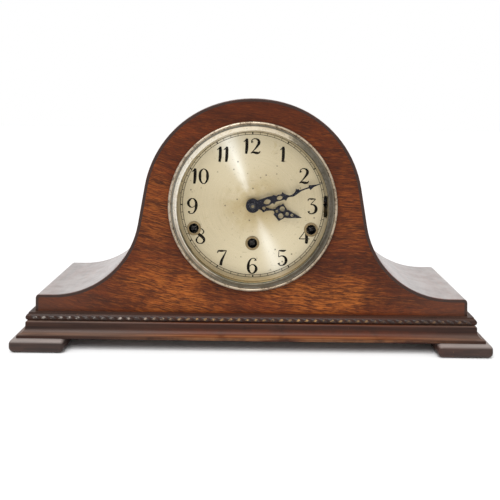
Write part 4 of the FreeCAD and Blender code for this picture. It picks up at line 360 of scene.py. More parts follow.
def dial_silver(name, s):
    """Silvered dial: brushed rings, a painted reflection as a bright fan with painted shade beside
    it and a painted highlight low down, yellowed middle and rim, dark specks, and painted shade on
    its sides.
    """
    paint = Paint(name, Metallic=0.8)
    centred = paint.mapped(shift=tuple(-c for c in DIAL_CENTRE))
    x, z = paint.part("X", centred), paint.part("Z", centred)
    radius = (x * x + z * z).math("SQRT")
    angle = x.math("ARCTAN2", z)
    rings = paint.noise(1.0, 3, 0.7, 0.0, paint.node(
        "ShaderNodeCombineXYZ", None, {"X": radius * 1400, "Y": angle * 1.2}))
    spokes = paint.noise(1.0, 3, 0.6, 0.0, paint.node(
        "ShaderNodeCombineXYZ", None, {"X": radius * 16, "Y": angle * 7}))
    clouds = paint.noise(28, 4, 0.6, 0.3)
    # Painted reflection of the circular brushing: a bright fan and a narrow ray, a painted
    # highlight low down, painted shade beside the fan
    turned = angle + FAN_TURN
    fan = turned.math("COSINE").math("ABSOLUTE")
    wide = fan ** 3
    narrow = (fan ** 90) * (0.6 + spokes * 0.8)
    clear = radius.over(*DIAL_CLEAR)
    color = paint.blend(rings.over(0.3, 0.7) * 0.5 + spokes * 0.3, s.silver, s.silver_shade)
    color = paint.blend(wide * 0.75, color, s.silver_light)
    color = paint.blend(narrow * clear * 0.65, color, DIAL_RAY_HIGHLIGHT)
    low = (z * -1).over(0.0, 0.055) * (0.6 + clouds * 0.6)
    color = paint.blend(low * 0.4, color, s.silver_light)
    side = turned.math("SINE").math("ABSOLUTE") ** 4
    color = paint.blend(side * 0.35 * clouds.over(0.3, 0.7), color, s.silver_shade)
    middle = radius.under(*DIAL_MIDDLE) * clouds.over(0.36, 0.60)
    color = paint.blend(middle * 0.8, color, s.silver_yellow)
    high = (z / radius).over(-0.3, 0.7)
    rim = radius.over(*DIAL_RIM) * (0.15 + high * 0.7)
    color = paint.blend(rim * 0.6, color, s.silver_yellow)
    stain = paint.noise(60, 5, 0.7, 0.8).over(0.62, 0.74)
    color = paint.blend(stain * 0.45, color, s.silver_yellow)
    patches = paint.noise(26, 2).over(0.40, 0.52)
    specks = paint.cells(120).under(0.05, 0.13) * patches
    spots = paint.noise(460, 2, 0.5).over(0.66, 0.71)
    scratch = paint.noise(1.0, 2, 0.5, 0.6, paint.mapped(
        scale=(60, 60, 900), turn=(0, -24, 0))).over(0.735, 0.76)
    marks = (specks * 0.8 + spots * 0.2 + scratch * 0.45).math("MINIMUM", 1.0)
    color = paint.blend(marks, color, DIAL_MARK)
    # Painted shade on the plate's sides and the slot's sides
    walls_shade = (paint.facing("Y") * -1).under(0.4, 0.8)
    color = paint.blend(walls_shade, color, DIAL_WALL_SHADE)
    rough = 0.38 + rings * 0.1 - wide * 0.08 + marks * 0.3
    normal = paint.bump(rings, 0.00001, 0.35)
    return paint.finish(Base_Color=color, Roughness=rough, Normal=normal)


def bezel_plate(name, s):
    """Plated bezel: worn roll, dark groove, painted shade low on its inner side, a painted
    highlight at its left, and the slope tarnished and in painted shade at its lower right.
    """
    paint = Paint(name, Metallic=0.85)
    centred = paint.mapped(shift=tuple(-c for c in DIAL_CENTRE))
    x, z = paint.part("X", centred), paint.part("Z", centred)
    radius = (x * x + z * z).math("SQRT")
    # The slope gets a painted highlight at the upper left and painted shade, mottled with tarnish,
    # at the lower right
    lean = (x * 0.85 - z * 0.5) / radius
    patches = paint.noise(75, 5, 0.7, 0.3)
    specks = paint.noise(430, 4, 0.65)
    dull = (lean + patches * 0.7 - 0.35).over(-0.16, 0.14)
    color = paint.blend(patches.over(0.35, 0.7), s.bezel, s.bezel_warm)
    color = paint.blend(lean.under(-0.9, -0.3) * specks.over(0.3, 0.6), color, s.bezel_light)
    slope = radius.under(*SLOPE_END)
    top = (z / radius).over(0.4, 0.95)
    color = paint.blend(top * slope * 0.4, color, s.bezel_warm)
    slope_shade = paint.blend((x / radius).over(0.2, 0.95), s.bezel_dull, s.bezel_dark)
    color = paint.blend(dull * slope * (0.7 + specks * 0.4), color, slope_shade)
    roll = radius.over(*ROLL_START)
    worn = (patches + specks * 0.8).over(0.88, 1.06)
    # Painted shade on the lower inner side of the ring
    wall_shade = radius.under(*WALL_END) * (z / radius).under(-0.5, 0.1)
    color = paint.blend(wall_shade * 0.9, color, BEZEL_WALL_SHADE)
    color = paint.blend(roll * 0.75, color, s.roll)
    color = paint.blend(roll * worn * 0.85, color, s.roll_dark)
    groove = radius.over(*GROOVE_START) * radius.under(*GROOVE_END)
    color = paint.blend(groove * 0.85, color, BEZEL_GROOVE)
    marks = specks.over(0.62, 0.68) * 0.7
    color = paint.blend(marks, color, BEZEL_MARK)
    rough = 0.26 + patches * 0.25 + dull * slope * 0.15 + marks * 0.3
    normal = paint.bump(specks * 0.5 + patches * 0.5, 0.00005, 0.7)
    return paint.finish(Base_Color=color, Roughness=rough, Normal=normal)


def blued(name, color):
    """Blued steel gone nearly black, with a little bare metal showing."""
    paint = Paint(name, Metallic=0.5, Specular_IOR_Level=0.15)
    patches = paint.noise(160, 4, 0.6)
    worn = paint.noise(700, 3, 0.6).over(0.6, 0.75)
    base = paint.blend(patches, color, tuple(c * 1.8 + 0.004 for c in color))
    base = paint.blend(worn * 0.3, base, BARE_STEEL)
    return paint.finish(Base_Color=base, Roughness=0.34 + patches * 0.2,
                        Normal=paint.bump(patches, 0.00003, 0.4))


def clear_glass(name):
    """Thin clear glass: see-through, denser with a painted reflection where it is seen from the
    side, and denser where it is dusty.
    """
    paint = Paint(name, IOR=1.45)
    dust = paint.noise(240, 4, 0.6).over(0.5, 0.8)
    haze = paint.noise(30, 3, 0.5).over(0.45, 0.8)
    # Denser at grazing angles: the grey shown there is a painted reflection
    tilt = paint.node("ShaderNodeLayerWeight", None, {"Blend": 0.35}, 1)
    alpha = 0.002 + dust * 0.004 + haze * 0.002 + (tilt ** 3) * 0.3
    tint = paint.blend(dust, GLASS, GLASS_DUST)
    return paint.finish(Base_Color=tint, Roughness=0.03 + dust * 0.05, Alpha=alpha)


def print_ink(name):
    """Black wax of the dial print, a little rubbed."""
    paint = Paint(name, Specular_IOR_Level=0.08)
    wear = paint.noise(900, 3, 0.6)
    color = paint.blend(wear.over(0.45, 0.85), INK, INK_WORN)
    return paint.finish(Base_Color=color, Roughness=0.45 + wear * 0.25,
                        Normal=paint.bump(wear, 0.00001, 0.4))


# Modelling helpers


def clean_selection():
    """Object mode, with nothing selected."""
    if bpy.context.object and bpy.context.object.mode != "OBJECT":
        bpy.ops.object.mode_set(mode="OBJECT")
    bpy.ops.object.select_all(action="DESELECT")


def take(*pieces):
    """Selects only these pieces and makes the last one active."""
    clean_selection()
    for piece in pieces:
        piece.select_set(True)
    bpy.context.view_layer.objects.active = pieces[-1]


def settle(piece, name, body, material, smooth):
    """Puts the place into the mesh, names the piece and gives it its body."""
    take(piece)
    bpy.ops.object.transform_apply(location=True, rotation=True, scale=True)
    if smooth:
        bpy.ops.object.shade_smooth_by_angle(angle=math.radians(smooth))
    piece.name = name
    piece.data.name = name
    piece.data.materials.clear()
    piece.data.materials.append(material)
    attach(piece, body)


def joined(pieces):
    take(*pieces)
    bpy.ops.object.join()
    return bpy.context.object


def modify(piece, kind, **settings):
    take(piece)
    modifier = piece.modifiers.new(kind.title(), kind)
    for name, value in settings.items():
        setattr(modifier, name, value)
    bpy.ops.object.modifier_apply(modifier=modifier.name)


def dressed(nodes, material):
    """Gives CAD nodes a finish in place of their plain slot colour."""
    for name in nodes.split():
        mesh = NODES[name].data
        if not mesh.materials:
            mesh.materials.append(material)
        for index in range(len(mesh.materials)):
            mesh.materials[index] = material


# Settings


def tint(name, about, default):
    """A colour that the panel offers."""
    return bpy.props.FloatVectorProperty(
        name=name, description=about, subtype="COLOR", size=3, min=0, max=1, default=default)


class ClockWood(bpy.types.PropertyGroup):
    light: tint("Veneer light", "Brightest flecks of the veneer", (0.38, 0.110, 0.020))
    mid: tint("Veneer", "Main colour of the veneer", (0.118, 0.025, 0.007))
    dark: tint("Veneer dark", "Dark streaks of the veneer", (0.050, 0.012, 0.005))
    dull: tint("Veneer dull", "Faded ends of the veneer", (0.082, 0.035, 0.023))
    pore: tint("Pores", "Open pores and dirt", (0.018, 0.009, 0.006))
    # Faded varnish and painted sheen on up-facing tops, also on the feet
    bloom: tint("Bloom", "Faded varnish on top surfaces", (0.50, 0.47, 0.455))
    # Painted sheen on the mouldings' ledges, warmer in the middle
    sheen: tint("Ledge sheen", "Faded varnish on the mouldings' ledges", (0.20, 0.125, 0.095))
    sheen_red: tint("Ledge red", "Warm varnish on the middle's ledges", (0.175, 0.045, 0.014))
    moulding: tint("Moulding", "Main colour of the mouldings", (0.040, 0.018, 0.012))
    moulding_dark: tint("Moulding dark", "Dark streaks of the mouldings", (0.018, 0.009, 0.007))
    moulding_red: tint("Moulding red", "Warmer middle of the mouldings", (0.100, 0.022, 0.008))
    worn: tint("Worn", "Worn edges of the mouldings", (0.30, 0.145, 0.06))
    # Painted glints on the carved leaves: gilt-coloured in the middle, grey at the left end
    gilt: tint("Gilt", "Old gilding on the carved leaves", (0.44, 0.25, 0.09))
    glint: tint("Glint", "Rubbed tops of the outer leaves", (0.42, 0.38, 0.34))


class ClockMetal(bpy.types.PropertyGroup):
    silver: tint("Dial", "Silvering of the dial", (0.56, 0.475, 0.31))
    # The dial's shade also gives painted shade beside the fan; its light is the painted reflection
    # of the bright fan
    silver_shade: tint("Dial shade", "Duller rings of the dial", (0.43, 0.365, 0.24))
    silver_light: tint("Dial light", "Bright fan of the brushed dial", (0.63, 0.55, 0.38))
    silver_yellow: tint("Dial yellow", "Yellowed lacquer", (0.40, 0.30, 0.14))
    bezel: tint("Bezel", "Bright plating of the bezel", (0.72, 0.66, 0.54))
    bezel_warm: tint("Bezel warm", "Brass through the plating", (0.50, 0.41, 0.27))
    # Painted shade with tarnish on the bezel's slope, deeper at the right; painted highlight at its
    # left
    bezel_dull: tint("Bezel dull", "Tarnished part of the bezel", (0.17, 0.15, 0.105))
    bezel_dark: tint("Bezel dark", "Tarnish at the right of the slope", (0.06, 0.052, 0.04))
    bezel_light: tint("Bezel light", "Bright left of the bezel", (0.80, 0.77, 0.68))
    roll: tint("Roll", "Worn outer roll of the bezel", (0.31, 0.235, 0.16))
    roll_dark: tint("Roll dark", "Tarnish on the outer roll", (0.12, 0.085, 0.06))


class ClockDial(bpy.types.PropertyGroup):
    numeral_height: bpy.props.FloatProperty(
        name="Numeral height", description="Height of the numerals",
        unit="LENGTH", min=0.005, max=0.03, default=0.0147)
    numeral_radius: bpy.props.FloatProperty(
        name="Numeral circle", description="Radius of the circle of numerals",
        unit="LENGTH", min=0.03, max=0.07, default=0.0562)
    track_outer: bpy.props.FloatProperty(
        name="Track outer", description="Outer circle of the minute track",
        unit="LENGTH", min=0.03, max=0.07, default=0.0683)
    track_inner: bpy.props.FloatProperty(
        name="Track inner", description="Inner circle of the minute track",
        unit="LENGTH", min=0.03, max=0.07, default=0.0662)
    line_width: bpy.props.FloatProperty(
        name="Line width", description="Width of the track's fine lines",
        unit="LENGTH", min=0.0001, max=0.001, default=0.00044)
    mark_width: bpy.props.FloatProperty(
        name="Mark width", description="Width of the five-minute marks",
        unit="LENGTH", min=0.0002, max=0.003, default=0.0011)
    ink_thick: bpy.props.FloatProperty(
        name="Ink", description="Thickness of the printed marks",
        unit="LENGTH", min=0.00001, max=0.0003, default=0.00004)
    stretch: bpy.props.FloatProperty(
        name="Numeral width", description="Width of the numerals against their drawing",
        min=0.5, max=2, default=1.21)
    numeral_left: bpy.props.FloatProperty(
        name="Numerals left", description="Numerals' ring to the left of the track's centre",
        unit="LENGTH", min=-0.01, max=0.01, default=0.0005)
    numeral_drop: bpy.props.FloatProperty(
        name="Numerals drop", description="Numerals' ring below the track's centre",
        unit="LENGTH", min=-0.01, max=0.01, default=0.0014)
    weight: bpy.props.FloatProperty(
        name="Numeral weight", description="Boldness of the numerals' strokes",
        min=0.5, max=2, default=1.32)
    turn: bpy.props.FloatProperty(
        name="Dial turn", description="Small turn of the print in the case",
        subtype="ANGLE", min=-0.1, max=0.1, default=math.radians(0.7))


class ClockBeads(bpy.types.PropertyGroup):
    level: bpy.props.FloatProperty(
        name="Level", description="Height of the middle of the carving",
        unit="LENGTH", min=0, max=0.1, default=0.0288)
    start: bpy.props.FloatProperty(
        name="Start", description="Place of the first gap in the front row",
        unit="LENGTH", min=-0.1, max=0.1, default=0.0)
    slope: bpy.props.FloatProperty(
        name="Slope", description="Slant of the gaps, across for each rise",
        min=-3, max=3, default=-1.2)
    pitch: bpy.props.FloatProperty(
        name="Pitch", description="Distance between carved leaves",
        unit="LENGTH", min=0.004, max=0.02, default=0.0078)
    lean: bpy.props.FloatProperty(
        name="Lean", description="Slope of each carved leaf",
        subtype="ANGLE", min=-1.2, max=1.2, default=math.radians(-17))
    relief: bpy.props.FloatProperty(
        name="Relief", description="Leaves proud of the round",
        unit="LENGTH", min=0.0001, max=0.002, default=0.0007)


class ClockStage(bpy.types.PropertyGroup):
    distance: bpy.props.FloatProperty(
        name="Distance", description="Camera ahead of the case front",
        unit="LENGTH", min=0.2, max=3, default=0.570)
    height: bpy.props.FloatProperty(
        name="Height", description="Camera above the floor",
        unit="LENGTH", min=0, max=2, default=0.2322)
    side: bpy.props.FloatProperty(
        name="Side", description="Camera beside the middle of the clock",
        unit="LENGTH", min=-1, max=1, default=0.0027)
    focal: bpy.props.FloatProperty(
        name="Focal length", description="Lens of the camera",
        min=10, max=200, default=44.136)
    roll: bpy.props.FloatProperty(
        name="Roll", description="Tilt of the picture",
        subtype="ANGLE", min=-0.2, max=0.2, default=math.radians(0.72))
    sink: bpy.props.FloatProperty(
        name="Shift down", description="Picture below the camera's level",
        min=-1, max=1, default=-0.302)
    slide: bpy.props.FloatProperty(
        name="Shift aside", description="Picture beside the camera's axis",
        min=-1, max=1, default=-0.014)
    floor: bpy.props.FloatVectorProperty(
        name="Floor", description="Colour of the floor",
        subtype="COLOR", size=3, min=0, max=1, default=(0.92, 0.92, 0.92))


GROUPS = {
    "clock_wood": ClockWood,
    "clock_metal": ClockMetal,
    "clock_dial": ClockDial,
    "clock_beads": ClockBeads,
    "clock_stage": ClockStage,
}


# Numerals: strokes of (across, up, half width), as shares of the numeral height

THICK = 0.078
SIX = (
    (0.45, 0.83, 0.066), (0.44, 0.93, 0.03), (0.30, 0.98, 0.020), (0.15, 0.84, 0.045),
    (0.07, 0.47, 0.078), (0.11, 0.17, 0.058), (0.27, 0.02, 0.022), (0.43, 0.13, 0.055),
    (0.49, 0.31, 0.074), (0.43, 0.50, 0.048), (0.28, 0.58, 0.020), (0.15, 0.49, 0.020),
    (0.10, 0.38, 0.020),
)
STROKES = {
    "0": (
        ((0.28, 0.98, 0.020), (0.13, 0.83, 0.050), (0.08, 0.50, 0.078), (0.13, 0.17, 0.050),
         (0.28, 0.02, 0.020), (0.43, 0.17, 0.050), (0.48, 0.50, 0.078), (0.43, 0.83, 0.050),
         (0.28, 0.98, 0.020)),
    ),
    "1": (
        ((0.17, 0.99, 0.050), (0.17, 0.80, 0.074), (0.16, 0.30, 0.074), (0.13, 0.01, 0.058)),
        ((0.00, 0.78, 0.018), (0.06, 0.83, 0.026), (0.17, 0.96, 0.045)),
    ),
    "2": (
        ((0.11, 0.73, 0.070), (0.08, 0.84, 0.030), (0.15, 0.95, 0.020), (0.28, 0.98, 0.026),
         (0.43, 0.88, 0.060), (0.46, 0.73, 0.078), (0.38, 0.53, 0.055), (0.16, 0.20, 0.022),
         (0.03, 0.05, 0.020)),
        ((0.03, 0.05, 0.022), (0.14, 0.11, 0.045), (0.33, 0.07, 0.068), (0.47, 0.09, 0.040),
         (0.53, 0.20, 0.018)),
    ),
    "3": (
        ((0.06, 0.82, 0.018), (0.09, 0.93, 0.026), (0.25, 0.95, 0.046), (0.47, 0.95, 0.020)),
        ((0.47, 0.95, 0.020), (0.20, 0.60, 0.020)),
        ((0.20, 0.59, 0.020), (0.36, 0.57, 0.040), (0.48, 0.43, 0.068), (0.49, 0.24, 0.078),
         (0.41, 0.08, 0.050), (0.25, 0.02, 0.022), (0.13, 0.06, 0.030), (0.10, 0.17, 0.070)),
    ),
    "4": (
        ((0.40, 0.98, 0.022), (0.24, 0.66, 0.022), (0.02, 0.31, 0.022)),
        ((0.02, 0.31, 0.024), (0.57, 0.31, 0.024)),
        ((0.41, 0.98, 0.035), (0.41, 0.70, 0.074), (0.41, 0.10, 0.074), (0.39, 0.01, 0.060)),
    ),
    "5": (
        ((0.11, 0.97, 0.022), (0.24, 0.95, 0.050), (0.38, 0.95, 0.050), (0.48, 0.99, 0.018)),
        ((0.11, 0.97, 0.020), (0.09, 0.56, 0.020)),
        ((0.09, 0.55, 0.020), (0.25, 0.62, 0.026), (0.42, 0.54, 0.056), (0.49, 0.34, 0.078),
         (0.42, 0.12, 0.054), (0.26, 0.02, 0.022), (0.13, 0.06, 0.030), (0.10, 0.17, 0.070)),
    ),
    "6": (SIX,),
    "7": (
        ((0.03, 0.80, 0.018), (0.05, 0.92, 0.034), (0.22, 0.94, 0.054), (0.50, 0.96, 0.022)),
        ((0.50, 0.96, 0.020), (0.36, 0.62, 0.044), (0.24, 0.30, 0.070), (0.20, 0.02, 0.074)),
    ),
    "8": (
        ((0.43, 0.86, 0.030), (0.28, 0.98, 0.020), (0.14, 0.89, 0.046), (0.11, 0.76, 0.064),
         (0.21, 0.60, 0.074), (0.38, 0.44, 0.078), (0.48, 0.25, 0.064), (0.42, 0.08, 0.040),
         (0.27, 0.02, 0.020), (0.11, 0.10, 0.034), (0.07, 0.25, 0.044), (0.15, 0.43, 0.026),
         (0.36, 0.61, 0.022), (0.45, 0.75, 0.034), (0.43, 0.86, 0.030)),
    ),
    "9": (tuple((0.55 - x, 1.0 - y, r) for x, y, r in SIX),),
}

# Step to the next digit and width of the last one, with those of the narrow figure
DIGIT_STEP, NARROW_STEP = 0.70, {"1": 0.42}
DIGIT_WIDTH, NARROW_WIDTH = 0.56, {"1": 0.25}

# Minute track, and the lever's slot from the dial's centre
HOURS, MINUTES = 12, 60
RING_STEPS = 240
BOLD_LONGER, BOLD_SHORTER = 0.4 * MM, 0.2 * MM
SLOT_SIDE, SLOT_DROP = 68.5 * MM, 1.2 * MM
SLOT_HALF_WIDE, SLOT_HALF_TALL = 2.3 * MM, 10.6 * MM

# Carved leaves: length against their pitch, depth, height, how deep they sit, and the
# end of the front row that stays free
LEAF_LONGER, LEAF_DEEP, LEAF_TALL = 1.25, 4.2 * MM, 3.9 * MM
LEAF_SINK, ROW_MARGIN = 2.1 * MM, 2.5 * MM


def numeral(text, settings, middle):
    """One numeral of flattened strokes, upright about its middle."""
    curve = bpy.data.curves.new(f"numeral_{text}", "CURVE")
    curve.dimensions = "3D"
    curve.bevel_depth = 1.0
    curve.bevel_resolution = 3
    curve.resolution_u = 6
    curve.use_fill_caps = True
    size, wider = settings.numeral_height, settings.stretch
    gaps = [NARROW_STEP.get(digit, DIGIT_STEP) for digit in text[:-1]]
    wide = sum(gaps) + NARROW_WIDTH.get(text[-1], DIGIT_WIDTH * wider)
    start = -wide / 2
    for digit, gap in zip(text, gaps + [0]):
        for stroke in STROKES[digit]:
            spline = curve.splines.new("BEZIER")
            spline.bezier_points.add(len(stroke) - 1)
            for point, (across, up, half) in zip(spline.bezier_points, stroke):
                point.co = ((start + across * wider) * size, 0, (up - 0.5) * size)
                point.radius = half * size * settings.weight
                point.handle_left_type = point.handle_right_type = "AUTO"
        start += gap
    piece = bpy.data.objects.new(f"numeral_{text}", curve)
    bpy.context.scene.collection.objects.link(piece)
    take(piece)
    bpy.ops.object.convert(target="MESH")
    piece = bpy.context.object
    thin = settings.ink_thick / (THICK * size)
    bpy.ops.object.mode_set(mode="EDIT")
    bpy.ops.mesh.select_all(action="SELECT")
    bpy.ops.transform.resize(value=(1, thin, 1), center_override=(0, 0, 0))
    bpy.ops.object.mode_set(mode="OBJECT")
    piece.location = middle
    return piece


def flat_ring(radius, width):
    """A flat ring across the dial, made by drawing a circle's edge inwards."""
    clean_selection()
    bpy.ops.mesh.primitive_circle_add(
        vertices=RING_STEPS, radius=radius, rotation=(math.pi / 2, 0, 0), location=DIAL_CENTRE)
    piece = bpy.context.object
    bpy.ops.object.transform_apply(location=False, rotation=True, scale=True)
    bpy.ops.object.mode_set(mode="EDIT")
    bpy.ops.mesh.select_all(action="SELECT")
    bpy.ops.mesh.extrude_edges_move()
    share = (radius - width) / radius
    bpy.ops.transform.resize(value=(share, 1, share), center_override=DIAL_CENTRE)
    bpy.ops.object.mode_set(mode="OBJECT")
    return piece


def radial_marks(inner, outer, width, count):
    """Upright marks repeated round the dial by spin copies."""
    clean_selection()
    bpy.ops.mesh.primitive_plane_add(size=1, rotation=(math.pi / 2, 0, 0))
    piece = bpy.context.object
    piece.scale = (width, outer - inner, 1)
    piece.location = DIAL_CENTRE + Vector((0, 0, (inner + outer) / 2))
    bpy.ops.object.transform_apply(location=True, rotation=True, scale=True)
    bpy.ops.object.mode_set(mode="EDIT")
    bpy.ops.mesh.select_all(action="SELECT")
    bpy.ops.mesh.spin(
        steps=count, dupli=True, angle=math.tau, center=DIAL_CENTRE, axis=(0, 1, 0))
    bpy.ops.mesh.select_all(action="SELECT")
    bpy.ops.mesh.remove_doubles(threshold=1e-6)
    bpy.ops.object.mode_set(mode="OBJECT")
    return piece


def in_slot(point):
    """Whether a point of the print would hang over the lever's slot."""
    side = point.x - DIAL_CENTRE.x - SLOT_SIDE
    drop = point.z - DIAL_CENTRE.z + SLOT_DROP
    return abs(side) < SLOT_HALF_WIDE and abs(drop) < SLOT_HALF_TALL


class CLOCK_OT_minute_track(bpy.types.Operator):
    """Minute track: two fine circles, sixty ticks and twelve bold marks"""
    bl_idname = "clock.minute_track"
    bl_label = "Minute track"

    def execute(self, context):
        s = context.scene.clock_dial
        tick = radial_marks(s.track_inner - s.line_width, s.track_outer, s.line_width, MINUTES)
        bold = radial_marks(
            s.track_inner - BOLD_LONGER, s.track_outer - BOLD_SHORTER, s.mark_width, HOURS)
        rings = [flat_ring(s.track_outer, s.line_width), flat_ring(s.track_inner, s.line_width)]
        track = joined([tick, bold, *rings])
        modify(track, "SUBSURF", levels=1, render_levels=1, subdivision_type="SIMPLE")
        mesh = track.data
        bpy.ops.object.mode_set(mode="EDIT")
        bpy.ops.mesh.select_mode(type="FACE")
        bpy.ops.mesh.select_all(action="DESELECT")
        bpy.ops.object.mode_set(mode="OBJECT")
        for face in mesh.polygons:
            face.select = in_slot(face.center)
        bpy.ops.object.mode_set(mode="EDIT")
        bpy.ops.mesh.delete(type="FACE")
        bpy.ops.object.mode_set(mode="OBJECT")
        take(track)
        bpy.ops.object.transform_apply(location=True, rotation=True, scale=True)
        bpy.ops.object.mode_set(mode="EDIT")
        bpy.ops.mesh.select_all(action="SELECT")
        bpy.ops.mesh.normals_make_consistent(inside=False)
        bpy.ops.object.mode_set(mode="OBJECT")
        bpy.context.view_layer.update()
        middle = sum(v.co.y for v in mesh.vertices) / len(mesh.vertices)
        lift = Matrix.Translation((0, DIAL_FACE - s.ink_thick - middle, 0))
        turned = Matrix.Translation(DIAL_CENTRE) @ Matrix.Rotation(-s.turn, 4, "Y")
        mesh.transform(turned @ Matrix.Translation(-DIAL_CENTRE) @ lift)
        modify(track, "SOLIDIFY", thickness=s.ink_thick * 0.9, offset=0)
        settle(track, "minute_track", "root", print_ink("track_ink"), 0)
        return {"FINISHED"}


class CLOCK_OT_numerals(bpy.types.Operator):
    """Twelve upright numerals with thick and thin strokes"""
    bl_idname = "clock.numerals"
    bl_label = "Numerals"

    def execute(self, context):
        s = context.scene.clock_dial
        ink = print_ink("numeral_ink")
        hub = Vector((DIAL_CENTRE.x, DIAL_FACE, DIAL_CENTRE.z))
        for hour in range(1, HOURS + 1):
            angle = math.radians(360 / HOURS * hour) - s.turn
            out = Vector((math.sin(angle), 0, math.cos(angle))) * s.numeral_radius
            middle = hub + out - Vector((s.numeral_left, 0, s.numeral_drop))
            piece = numeral(str(hour), s, middle)
            settle(piece, f"numeral_{hour}", "root", ink, 50)
        return {"FINISHED"}


class CLOCK_OT_carved_beads(bpy.types.Operator):
    """Carved leaves along the bead moulding, in front and at both ends"""
    bl_idname = "clock.carved_beads"
    bl_label = "Carved beads"

    def leaf(self, s):
        """One leaf: a long flattened ball that leans."""
        clean_selection()
        bpy.ops.mesh.primitive_uv_sphere_add(segments=14, ring_count=9, radius=0.5,
                                             rotation=(0, math.pi / 2, 0))
        piece = bpy.context.object
        bpy.ops.object.transform_apply(location=False, rotation=True, scale=False)
        bpy.ops.object.mode_set(mode="EDIT")
        bpy.ops.mesh.select_all(action="SELECT")
        size = (s.pitch * LEAF_LONGER, LEAF_DEEP, LEAF_TALL)
        bpy.ops.transform.resize(value=size, center_override=(0, 0, 0))
        bpy.ops.transform.rotate(value=s.lean, orient_axis="Y", center_override=(0, 0, 0))
        bpy.ops.object.mode_set(mode="OBJECT")
        return piece

    def row(self, leaf, places, turn):
        """Copies of the leaf at the places, turned alike and joined."""
        copies = []
        for place in places:
            piece = leaf.copy()
            piece.data = leaf.data.copy()
            bpy.context.scene.collection.objects.link(piece)
            piece.data.transform(turn)
            piece.location = place
            copies.append(piece)
        return joined(copies)

    def execute(self, context):
        s = context.scene.clock_beads
        wood = context.scene.clock_wood
        leaf = self.leaf(s)
        tip = BEAD_LOW.y
        sink = LEAF_SINK - s.relief
        half = (BEAD_HIGH.x - BEAD_LOW.x) / 2 - ROW_MARGIN
        count = int(half // s.pitch)
        places = [(s.start + (n + 0.5) * s.pitch, tip + sink, s.level)
                  for n in range(-count, count)]
        row = self.row(leaf, places, Matrix.Identity(4))
        settle(row, "carved_leaves_front", "root",
               carved_wood("carved_front", wood, s, "X"), 60)
        side_wood = carved_wood("carved_side", wood, s, "Y")
        first = math.ceil((CASE_FRONT - s.start) / s.pitch)
        last = math.floor((CASE_HIGH.y - s.start) / s.pitch)
        for side, name in ((-1, "left"), (1, "right")):
            edge = side * (CASE_HIGH.x + CASE_FRONT - tip - sink)
            places = [(edge, s.start + (n + 0.5) * s.pitch, s.level)
                      for n in range(first, last)]
            row = self.row(leaf, places, Matrix.Rotation(side * math.pi / 2, 4, "Z"))
            settle(row, f"carved_leaves_{name}", "root", side_wood, 60)
        bpy.data.objects.remove(leaf)
        return {"FINISHED"}


# Finishes: plain woods by name, dark, light and nodes; metals by name, colour, tarnish,
# roughness, fineness of the spots, how much of them, and nodes

PLAIN_WOODS = (
    ("base_wood", (0.05, 0.026, 0.018), (0.09, 0.045, 0.028), "base_board"),
    ("back_wood", (0.12, 0.058, 0.032), (0.20, 0.10, 0.055), "back_frame"),
    ("door_wood", (0.15, 0.075, 0.04), (0.24, 0.125, 0.07), "back_door"),
)
METALS = (
    ("mount_brass", (0.36, 0.28, 0.16), OLD_BRASS, 0.34, 300, 0.7,
     "bezel_mount bezel_hinge_pin"),
    ("collet_brass", (0.25, 0.185, 0.10), OLD_BRASS, 0.34, 300, 0.7, "winding_collets"),
    ("lever_steel", (0.06, 0.055, 0.05), (0.02, 0.017, 0.014), 0.4, 90, 0.5,
     "chime_silent_lever"),
    ("wheel_brass", (0.72, 0.54, 0.26), (0.30, 0.20, 0.08), 0.22, 60, 0.35,
     "cannon_pinion minute_wheel hour_wheel intermediate_wheel third_wheel escape_wheel "
     "strike_wheel chime_drum pendulum_bob rating_nut going_barrel strike_barrel chime_barrel"),
    ("centre_brass", (0.20, 0.16, 0.09), OLD_BRASS, 0.3, 60, 0.5, "centre_wheel"),
    ("plate_brass", (0.68, 0.52, 0.26), (0.34, 0.24, 0.10), 0.3, 30, 0.4,
     "front_plate back_plate plate_pillars suspension_cock"),
    ("bright_steel", (0.50, 0.50, 0.51), (0.20, 0.17, 0.14), 0.3, 200, 0.4,
     "movement_posts movement_screws going_click strike_click chime_click anchor "
     "pendulum_rod hammer_arbor gong_rods"),
    # Dark steel for the winding arbors, darkened further as painted shade of the winding holes
    ("dark_square", (0.035, 0.032, 0.03), (0.012, 0.01, 0.008), 0.4, 300, 0.5,
     "going_winding_arbor strike_winding_arbor chime_winding_arbor"),
    ("hammer_steel", (0.33, 0.33, 0.34), (0.14, 0.11, 0.09), 0.36, 150, 0.5,
     "chime_hammer_1 chime_hammer_2 chime_hammer_3 chime_hammer_4"),
    ("gong_iron", (0.035, 0.035, 0.038), (0.10, 0.06, 0.04), 0.5, 120, 0.4, "gong_block"),
    ("hinge_brass", (0.55, 0.42, 0.20), (0.20, 0.14, 0.07), 0.32, 160, 0.5,
     "door_frame_leaves door_leaves turn_button turn_button_screw"),
)
METAL_EXTRAS = {
    # The collets get a painted shade inside their holes
    "collet_brass": {"bore_shade": (0.012, 0.009, 0.007)},
    "plate_brass": {"brushed": (20, 20, 1500)},
}


class CLOCK_OT_wood_finish(bpy.types.Operator):
    """Veneer, mouldings, feet, base and back"""
    bl_idname = "clock.wood_finish"
    bl_label = "Wood finish"

    def execute(self, context):
        s = context.scene.clock_wood
        dressed("front_panel", veneer("oak_front", s))
        dressed("case_skin", bent_skin("oak_skin", s))
        wood = moulding_wood("moulding_polish", s)
        dressed("plinth_moulding_front bead_moulding_front", wood)
        ends = moulding_wood("moulding_ends", s, (260, 16, 420))
        dressed("plinth_moulding_sides bead_moulding_sides", ends)
        # The feet get a painted highlight on their tops
        feet = moulding_wood("foot_polish", s, (30, 30, 420), 0.42)
        dressed("left_foot right_foot", feet)
        for name, dark, light, nodes in PLAIN_WOODS:
            dressed(nodes, plain_wood(name, dark, light))
        return {"FINISHED"}


